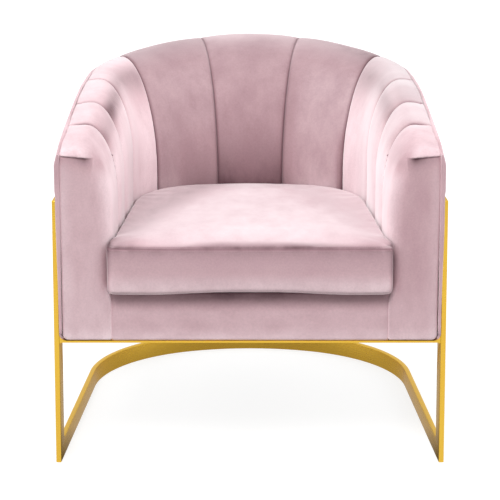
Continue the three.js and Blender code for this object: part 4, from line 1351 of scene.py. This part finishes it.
# Painted light low on the panel and at its hem, and the cushion's painted shadow along its top, a little
# lighter towards the ends.
panel_hem = 1 - ease(panel_height, UNDERSIDE + 1 * MM, UNDERSIDE + 8 * MM)
panel_foot = 1 - ease(panel_height, 255 * MM, 282 * MM)
panel_shade = 0.76 - 0.18 * ease(np.abs(panel_across), 60 * MM, 160 * MM)
panel_shade *= ease(panel_height, 305 * MM, 343 * MM)
set_painted_light(front_panel, 0.1 + 0.25 * panel_foot + 0.2 * panel_hem - panel_shade)
upholster(front_panel, velvet_flat, ["front_panel"])

# %% [markdown]
# The outside of the tub is one tight cover of velvet. It is pulled over a thin roll along the top
# edge and down the arm fronts, which shows in front as a narrow strip beside a dark seam, and it
# is turned under the seat with a round hem.

# %% Outer cover
HEM_ROUND = 14 * MM
HEM_WIDTH = 20 * MM
COVER_THICKNESS = 3 * MM
LIP_THICKNESS = 5.4 * MM
BULGE = 4.8 * MM
COVER_FRONT = 3.6 * MM
BACK_DROP = 5 * MM
ARM_LIP = 2.6 * MM
HEM_SETBACK = 12 * MM
FRONT_PINCH = 2.6 * MM


def bulge(run, height, edge):
    """How far the padding swells over the steel: above the band, and beside the front edge."""
    above = ease(height, PLATE_TOP, PLATE_TOP + 18 * MM)
    back_rim = ease(height, edge - 35 * MM, edge - 5 * MM)
    front_rim = ease(height, edge - 22 * MM, edge - 2 * MM) * 0.9
    rim = front_rim + (back_rim - front_rim) * ease(run, 10 * MM, 70 * MM)
    beside = (1 - ease(run, 0, 3 * MM)) * ease(height, 290 * MM, PLATE_TOP)
    return BULGE * max(above, beside * 0.75) * (1 - rim)


def back_drop(share):
    """How much lower the cover's rim lies round the back, where the channels hide it from in front."""
    return BACK_DROP * ease(min(share, 2 - share), 0.42, 0.56)


def cover_section(station, run):
    """The cover's outer and inner sides as points (inset, height) counted from the steel's face."""
    front_share = 1 - ease(run, 0, 0.02)
    beside_arm = ARM_LIP * ease(run, 0.03, 0.06) * (1 - ease(run, 0.13, 0.16))
    top = station.edge - 0.5 * MM - back_drop(run / frame_plan.half_length)
    outside, inside = [], []
    for step in range(4):
        inset = COVER_INSET + HEM_ROUND + HEM_WIDTH * (1 - step / 4)
        outside.append((inset, UNDERSIDE))
        inside.append((inset, UNDERSIDE + COVER_THICKNESS))
    for step in range(8):
        angle = math.pi / 2 * step / 8
        reach = 1 - math.sin(angle)
        rise = 1 - math.cos(angle)
        for side, thick in ((outside, 0), (inside, COVER_THICKNESS)):
            radius = HEM_ROUND - thick
            side.append((COVER_INSET + thick + radius * reach, UNDERSIDE + thick + radius * rise))
    low = UNDERSIDE + HEM_ROUND
    high = top - LIP_THICKNESS
    for step in range(49):
        z = low + (high - low) * step / 48
        grown = max(ease(z, high - 0.03, high), front_share)
        thick = COVER_THICKNESS + (LIP_THICKNESS + beside_arm - COVER_THICKNESS) * grown
        outside.append((COVER_INSET - bulge(run, z, station.edge), z))
        inside.append((COVER_INSET + thick, z))
    swollen = bulge(run, high, station.edge)
    for step in range(1, 7):
        angle = math.pi / 2 * step / 6
        outside.append((
            COVER_INSET - swollen + (LIP_THICKNESS / 2 + swollen) * (1 - math.cos(angle)),
            high + LIP_THICKNESS * math.sin(angle),
        ))
        inside.append((
            COVER_INSET + LIP_THICKNESS + beside_arm - LIP_THICKNESS / 2 * (1 - math.cos(angle)),
            high + LIP_THICKNESS * math.sin(angle) * 0.999,
        ))
    return np.array(outside), np.array(inside)


def outer_cover():
    runs = np.array([-3.6, -3.2, -2.4, -1.2, 0, 1.2, 2.4, 4, 7]) * MM / frame_plan.half_length
    shares = np.concatenate([runs, np.linspace(0.012, 1, 100)])
    shares = np.concatenate([shares, 2 - shares[-2::-1]])
    front, back = [], []
    for share in shares:
        run = min(share, 2 - share) * frame_plan.half_length
        station = Station(min(max(share, 0), 2), min(max(share, 0), 2))
        outside, inside = cover_section(station, max(run, 0))
        pinch = inset_at(FRONT_PINCH, run + COVER_FRONT)
        outside[:, 0] += pinch
        inside[:, 0] -= pinch
        for rows, side in ((outside, front), (inside, back)):
            placed = station.place_outside(rows)
            placed[:, 1] += min(run, 0) * ease(rows[:, 1], UNDERSIDE + 6 * MM, UNDERSIDE + 24 * MM)
            under = ease(rows[:, 0], COVER_INSET + 3 * MM, COVER_INSET + HEM_ROUND)
            placed[:, 1] += under * max(HEM_SETBACK - run, 0) * (rows[:, 1] < UNDERSIDE + HEM_ROUND)
            side.append(placed)
    return np.array(front), np.array(back)


cover_front, cover_back = outer_cover()
cover_normals = -grid_normals(cover_front)
ripples = soft_noise(cover_front, 0.14, 6).reshape(cover_front.shape[:2]) * 0.7 * MM
flat = ease(cover_front[..., 2], UNDERSIDE + 20 * MM, UNDERSIDE + 60 * MM)
cover_front = cover_front + cover_normals * (-np.abs(ripples) * flat)[..., None]
cover = make_mesh("velvet_outer_cover", *closed_form(cover_front, cover_back))
# Painted shade near the cover's top edge and front ends, darkest close to them.
cover_edges = (cover_front[:, -1], cover_front[0], cover_front[-1])
cover_points = mesh_points(cover)
to_rim = np.min([nearest_on_path(cover_points, edge)[0] for edge in cover_edges], axis=0)
set_painted_deep_shade(cover, 0.4 * bell(to_rim, 4 * MM) + 0.3 * fading(to_rim, 14 * MM))
set_painted_light(cover, -0.7 * fading(to_rim, 40 * MM))
upholster(cover, velvet_upright, ["outer_cover"])

# %% [markdown]
# The seat cushion is loose: a foam block in a velvet cover that is cut as a top, a bottom and a
# band round the side. It fills the tub, overhangs the front by an inch and is a little wider
# there than the gap between the arms, which gives it two small ears. It starts as a smooth form
# a few millimetres too low. Then a cloth simulation blows it up against its seams, which stay
# pinned, so the crown and the faint pulls near the corners are those of real cloth.

# %% Rough form of the cushion
CUSHION_LOW = DECK + 0.6 * MM
UPPER_SEAM = 440 * MM
LOWER_SEAM = 351 * MM
SIDE_GAP = 1.4 * MM
OVERHANG = 25 * MM
FRONT_BOW = 2 * MM
EAR = 8 * MM
EAR_DEPTH = 10 * MM
EAR_END = 32 * MM
CUSHION_CORNER = 13 * MM
CUSHION_MIDDLE = (SEAT_DEPTH - SIDE_GAP - OVERHANG) / 2
CUSHION_VOXEL = 5 * MM
SEAM_SHARE = 0.996

# Rings of the cushion from its underside up to its crown: the share of the outline and the height
CUSHION_RINGS = (
    (0.4, CUSHION_LOW), (0.75, CUSHION_LOW), (0.95, CUSHION_LOW), (0.982, CUSHION_LOW + 1.2 * MM),
    (0.998, LOWER_SEAM), (1.001, 368 * MM), (0.999, 385 * MM), (0.998, 400 * MM), (0.999, 418 * MM),
    (1.001, 430 * MM), (1.002, UPPER_SEAM), (0.98, 445.5 * MM), (0.935, 448.5 * MM), (0.83, 450.5 * MM),
    (0.65, 451.5 * MM), (0.4, 452 * MM), (0.15, 452 * MM),
)


def cushion_outline():
    """The cushion seen from above, from the middle of its front round by its left side."""
    half_front = SEAT_HALF_WIDTH + EAR
    left = []
    for t in np.linspace(0, 1, 28, endpoint=False):
        x = (half_front - CUSHION_CORNER) * t
        left.append((-x, -OVERHANG - FRONT_BOW * (1 - t ** 2)))
    for step in range(9):
        angle = math.pi / 2 * step / 8
        x = half_front - CUSHION_CORNER * (1 - math.sin(angle))
        left.append((-x, -OVERHANG + EAR_DEPTH * (1 - math.cos(angle))))
    for y in np.linspace(-OVERHANG + EAR_DEPTH, EAR_END, 12)[1:]:
        side = seat_plan.at(max(y, 0) / seat_plan.half_length)[0]
        beside_arm = -side[0] - SIDE_GAP + inset_at(CORNER_ROUND, max(y, 0))
        left.append((-min(half_front, beside_arm), y))
    for share in np.linspace(EAR_END / seat_plan.half_length, 1, 70)[1:]:
        point, inward = seat_plan.at(share)
        left.append(tuple(point + inward * SIDE_GAP))
    left = np.array(left)
    right = left[-2:0:-1] * np.array([-1, 1])
    return np.concatenate([left, right])


def level_rings(outline, middle, levels):
    """Level loops of an outline, shrunk towards its middle by each share and set at each height."""
    centre = np.array([0, middle])
    return [
        np.column_stack([centre + (outline - centre) * share, np.full(len(outline), height)])
        for share, height in levels
    ]


outline = cushion_outline()
cushion = make_mesh("velvet_seat_cushion", *loft_form(level_rings(outline, CUSHION_MIDDLE, CUSHION_RINGS)))
remeshed(cushion, CUSHION_VOXEL)
relaxed(cushion, 2)
print("cushion skin:", len(cushion.data.vertices), "vertices")


# %% Blowing up cloth against its seams
SEAM_HOLD = 4.5 * MM
SWELL_CAP = 6 * MM


def puffed(piece, pinned, pressure, cap, frames=20):
    """Runs a cloth simulation on the piece, with the pinned points held, and keeps its result."""
    start = mesh_points(piece)
    group = piece.vertex_groups.new(name="sewn")
    group.add([int(i) for i in np.nonzero(pinned)[0]], 1.0, "REPLACE")
    cloth = piece.modifiers.new("cloth", "CLOTH")
    settings = cloth.settings
    settings.quality = 5
    settings.mass = 0.3
    settings.tension_stiffness = 12
    settings.compression_stiffness = 12
    settings.shear_stiffness = 6
    settings.bending_stiffness = 6
    settings.use_pressure = True
    settings.uniform_pressure_force = pressure
    settings.effector_weights.gravity = 0
    settings.vertex_group_mass = group.name
    cloth.collision_settings.use_collision = False
    cloth.point_cache.frame_start = 1
    cloth.point_cache.frame_end = frames
    for number in range(1, frames + 1):
        bpy.context.scene.frame_set(number)
    graph = bpy.context.evaluated_depsgraph_get()
    made = piece.evaluated_get(graph).to_mesh()
    step = vectors(made.vertices, "co") - start
    piece.evaluated_get(graph).to_mesh_clear()
    piece.modifiers.clear()
    piece.vertex_groups.clear()
    length = np.linalg.norm(step, axis=1, keepdims=True)
    step *= np.minimum(1, cap / np.maximum(length, 1e-9))
    set_points(piece, start + step)
    bpy.context.scene.frame_set(1)
    print(piece.name, "swelled by up to", round(float(length.max()) * 1000, 1), "mm")


def seam_ring(height):
    """The closed path of a seam round the cushion."""
    ring = level_rings(outline, CUSHION_MIDDLE, [(SEAM_SHARE, height)])[0]
    return np.concatenate([ring, ring[:1]])


points = chair_points(cushion)
held = points[:, 2] < CUSHION_LOW + 1 * MM
for height in (UPPER_SEAM, LOWER_SEAM):
    held |= nearest_on_path(points, seam_ring(height))[0] < SEAM_HOLD
puffed(cushion, held, pressure=3.0, cap=SWELL_CAP)
sewn = mesh_points(cushion)
relaxed(cushion, 5)
sewn[~held] = mesh_points(cushion)[~held]
set_points(cushion, sewn)

# %% Sewing the cushion
WELT_DEPTH = 1.9 * MM
WELT_WIDTH = 2.4 * MM
FRONT_LIFT = 5.5 * MM
CORNER_FOLD = 3.4 * MM
PINCH = 0.75
SIDE_RISE = 9 * MM
CORNER_PLACE = (272 * MM, -20 * MM)
EAR_PLACE = (276 * MM, -25 * MM)
CORNER_REACH = 24 * MM


def away_from(points, place):
    """How far points lie from a place seen from above, or from its mirror image."""
    return np.hypot(np.abs(points[:, 0]) - place[0], points[:, 1] - place[1])


def shape_cushion(points, upper):
    """Pinches the ears, lifts the top beside the arms and raises the middle of the front's foot."""
    over = np.clip(points[:, 2] - UPPER_SEAM, 0, None)
    points[:, 2] -= PINCH * bell(away_from(points, EAR_PLACE), CORNER_REACH) * over
    sideways = np.abs(points[:, 0])
    along_arm = ease(points[:, 1], -22 * MM, 30 * MM) * (1 - ease(points[:, 1], 300 * MM, 420 * MM))
    along_arm *= ease(sideways, 190 * MM, 235 * MM) * ease(points[:, 2], 400 * MM, UPPER_SEAM)
    points[:, 2] += SIDE_RISE * along_arm * fading(upper, 30 * MM)
    lift = FRONT_LIFT * (1 - ease(sideways, 40 * MM, 200 * MM)) * (1 - ease(points[:, 1], 0, 120 * MM))
    points[:, 2] += lift * (1 - ease(points[:, 2], 352 * MM, 410 * MM))


def cushion_painted_light(points, upper, sideways_facing, at_front):
    """Painted highlight in the middle and low down; painted shade at the back corners, along the front roll
    and on the ears.
    """
    x, y, z = points.T
    above = ease(z, UPPER_SEAM - 1 * MM, UPPER_SEAM + 2 * MM)
    inboard = ease(x, -200 * MM, -40 * MM) * (1 - ease(x, 80 * MM, 240 * MM))
    roll = above * bell(upper, (10 + 17 * inboard) * MM) * (0.45 + 0.6 * inboard)
    below = (1 - above) * fading(upper, 18 * MM) * 0.5
    behind = 0.918 * (np.abs(x) - 254 * MM) + 0.395 * (y - 86 * MM)
    corners = above * ease(behind, -100 * MM, 0)
    middle = above * (1 - ease(np.abs(x + 10 * MM), 80 * MM, 240 * MM)) * 0.33 * (1 - corners)
    corners *= np.where(x < 0, 0.58, 0.22)
    low = (1 - above) * 0.4 * (1 - ease(z, 360 * MM, 400 * MM))
    side = at_front * ease(sideways_facing, 0.3, 0.8) * 0.3
    return middle + low - corners - side - (roll + below) * at_front


def sew_cushion(piece):
    refined(piece)
    points = chair_points(piece)
    normals = vertex_normals(piece)
    upper, along, _ = nearest_on_path(points, seam_ring(UPPER_SEAM))
    lower, low_along, _ = nearest_on_path(points, seam_ring(LOWER_SEAM))
    groove = WELT_DEPTH * (bell(upper, WELT_WIDTH, 1.6) + 0.7 * bell(lower, WELT_WIDTH, 1.6))
    corner = fading(away_from(points, CORNER_PLACE), CORNER_REACH)
    small = seam_noise(along, upper, 0.2, 10 * MM, 2)
    large = seam_noise(along, upper, 0.2, 22 * MM, 7)
    near = fading(upper, 11 * MM) * ease(upper, 0, 3 * MM)
    folds = near * (small * (0.35 * MM + CORNER_FOLD * corner) + large * 0.8 * MM)
    folds += seam_noise(low_along, lower, 0.2, 16 * MM, 9) * 0.4 * MM * fading(lower, 10 * MM)
    slow = soft_noise(points, 120 * MM, 11) * 1.2 * MM
    slow *= ease(upper, 5 * MM, 40 * MM) * ease(lower, 5 * MM, 30 * MM)
    points += normals * (folds + slow - groove)[:, None]
    shape_cushion(points, upper)
    at_front = 1 - ease(points[:, 1], 10 * MM, 50 * MM)
    sideways_facing = np.abs(normals[:, 0])
    # A painted highlight on the puckers, painted shade in the seams, and a dark matte on the ears' sides
    # where they turn edge-on, in place of their sheen.
    set_painted_light(piece, cushion_painted_light(points, upper, sideways_facing, at_front) + 0.9 * near * small * corner)
    crease = 0.38 * bell(upper, 2.6 * MM) + 0.12 * bell(lower, 1.8 * MM)
    set_painted_deep_shade(piece, crease + 0.45 * at_front * ease(sideways_facing, 0.55, 0.95))
    set_points(piece, to_frame(points))


sew_cushion(cushion)
upholster(cushion, velvet_cushion, ["cushion_cover"], body="seat_cushion")

# %% [markdown]
# Inside the cover is a block of foam, cut to the same outline and a little smaller. Nobody sees
# it, and it is what the cushion's springiness comes from. The zip lies in the band at the back. It
# is laid on the skin of the swollen cushion, wherever that ended up, by looking for it with rays.

# %% Foam core and zip of the cushion
CORE_RINGS = (
    (0.5, 354 * MM), (0.93, 354 * MM), (0.95, 358 * MM), (0.955, 370 * MM), (0.955, 420 * MM),
    (0.95, 432 * MM), (0.93, 436 * MM), (0.8, 439 * MM), (0.5, 441 * MM), (0.2, 442 * MM),
)
core = make_mesh("foam_core", *loft_form(level_rings(outline, CUSHION_MIDDLE, CORE_RINGS)))
finish_piece(core, foam, "seat_cushion", ["cushion_core"])

ZIP_HALF = 65 * MM
ZIP_LOW = 391 * MM
ZIP_HIGH = 402.5 * MM
TOOTH = 2.6 * MM
TOOTH_WIDTH = 1.5 * MM
TOOTH_RISE = 1.4 * MM
TOOTH_SHIFT = 0.5 * MM
PULL_RISE = 2.8 * MM
TAPE_PROUD, TOOTH_PROUD, PULL_PROUD = 0.3 * MM, 0.7 * MM, 1.2 * MM
skin = BVHTree.FromObject(cushion, bpy.context.evaluated_depsgraph_get())


def back_of_cushion(x, z):
    """The depth at which the cushion's back lies, in chair measures."""
    hit = skin.ray_cast(Vector((x, 1.0, z)), Vector((0, -1, 0)))[0]
    return hit.y + FRONT_SHIFT


def zip_plate(low_x, high_x, middle_z, rise, columns, rows, proud):
    """A plate that follows the cushion's back and stands proud of it."""
    front = np.zeros((columns, rows, 3))
    for c, x in enumerate(np.linspace(low_x, high_x, columns)):
        for r, z in enumerate(np.linspace(middle_z - rise, middle_z + rise, rows)):
            front[c, r] = (x, back_of_cushion(x, z) + proud, z)
    back = front - np.array([0, proud + 0.5 * MM, 0])
    return closed_form(front, back)


middle = (ZIP_LOW + ZIP_HIGH) / 2
forms = [zip_plate(-ZIP_HALF, ZIP_HALF, middle, (ZIP_HIGH - ZIP_LOW) / 2, 60, 7, TAPE_PROUD)]
for number, x in enumerate(np.arange(-ZIP_HALF + 3 * MM, ZIP_HALF - 8 * MM, TOOTH)):
    shift = TOOTH_SHIFT if number % 2 else -TOOTH_SHIFT
    forms.append(zip_plate(x, x + TOOTH_WIDTH, middle + shift, TOOTH_RISE, 2, 2, TOOTH_PROUD))
forms.append(zip_plate(ZIP_HALF - 9 * MM, ZIP_HALF - 1 * MM, middle, PULL_RISE, 3, 3, PULL_PROUD))
zip_piece = joined("cushion_zip_closed", forms)
finish_piece(zip_piece, zip_tape, "seat_cushion", ["cushion_zip"])

# %% [markdown]
# Two layers of cloth close the seat: a wadded deck over the springs, on which the cushion lies,
# and a thin black cover that is stapled under the frame against dust. Stretched between its
# staples, the black cloth pulls into faint folds near its edge.

# %% Deck and dust cover
CHANNEL_PADDING = 20 * MM
DECK_THICKNESS = 10.3 * MM
DUST_INSET = 30.3 * MM
DUST_START = 41 * MM
DUST_THICKNESS = 0.8 * MM
DUST_GAP = 0.4 * MM
STAPLE_STEP = 42 * MM
STAPLE_DROOP = 2.2 * MM
DROOP_REACH = 0.05


def both_sides(left):
    left = np.array(left)
    return np.concatenate([left, left[-2::-1] * np.array([-1, 1])])


def plate_rings(outline, levels):
    return level_rings(outline, outline[:, 1].mean(), levels)


deck_shares = np.linspace(0.03, 1, 70)
deck_outline = both_sides([
    point - inward * (CHANNEL_PADDING - 0.6 * MM)
    for point, inward in (seat_plan.at(share) for share in deck_shares)
])
deck_low = DECK - DECK_THICKNESS
deck_levels = [
    (0.3, deck_low), (0.7, deck_low), (0.98, deck_low), (0.995, deck_low + 1.5 * MM), (1, deck_low + 4 * MM),
    (0.995, DECK - 2.5 * MM), (0.98, DECK - 0.8 * MM), (0.9, DECK - 0.5 * MM), (0.6, DECK - 0.4 * MM),
    (0.3, DECK - 0.4 * MM),
]
deck = make_mesh("wadded_deck", *loft_form(plate_rings(deck_outline, deck_levels)))
finish_piece(deck, felt, "chair_frame", ["deck_pad"])

dust_shares = [DUST_START / frame_plan.half_length] + list(np.linspace(0.06, 1, 120))
dust_outline = both_sides([
    point + inward * DUST_INSET for point, inward in (frame_plan.at(share) for share in dust_shares)
])
dust_high = UNDERSIDE - DUST_GAP
dust_low = dust_high - DUST_THICKNESS
dust_rings = (0.05, 0.3, 0.55, 0.75, 0.88, 0.94, 0.97, 0.985, 1)
dust_levels = [(share, dust_low) for share in dust_rings] + [(share, dust_high) for share in dust_rings[::-1]]
dust_loops = plate_rings(dust_outline, dust_levels)
dust_run = np.concatenate([[0], np.cumsum(np.linalg.norm(np.diff(dust_outline, axis=0), axis=1))])
for loop, (share, _) in zip(dust_loops, dust_levels):
    inside = (1 - share) / DROOP_REACH
    wave = 0.5 + 0.5 * np.cos(2 * math.pi * dust_run / STAPLE_STEP)
    loop[:, 2] -= wave * math.exp(-inside) * inside * STAPLE_DROOP
dust = make_mesh("black_dust_cover", *loft_form(dust_loops))
finish_piece(dust, black_cloth, "chair_frame", ["dust_cover"])
x, y = dust_outline.T

# %% [markdown]
# What is left of the solids has the right shape already: the crossbar under the seat, the screws
# and bolts, the springs with their clips, and the timber. These only get their finishes.

# %% Finishes of the pieces that carry over
finishes = {
    "gilt_steel": gilt,
    "zinc_steel": zinc,
    "spring_steel": spring_steel,
    "timber": timber,
    "hardboard": hardboard,
    "felt": felt,
    "black_cloth": black_cloth,
    "velvet": velvet_flat,
    "foam": foam,
    "zip_tape": zip_tape,
}
subparts = frame["record"]["subparts"]
for part in subparts:
    for slot in frame["nodes"][part["node"]].material_slots:
        slot.material = finishes[part["material_slot"]]
print("nodes painted:", len(subparts))
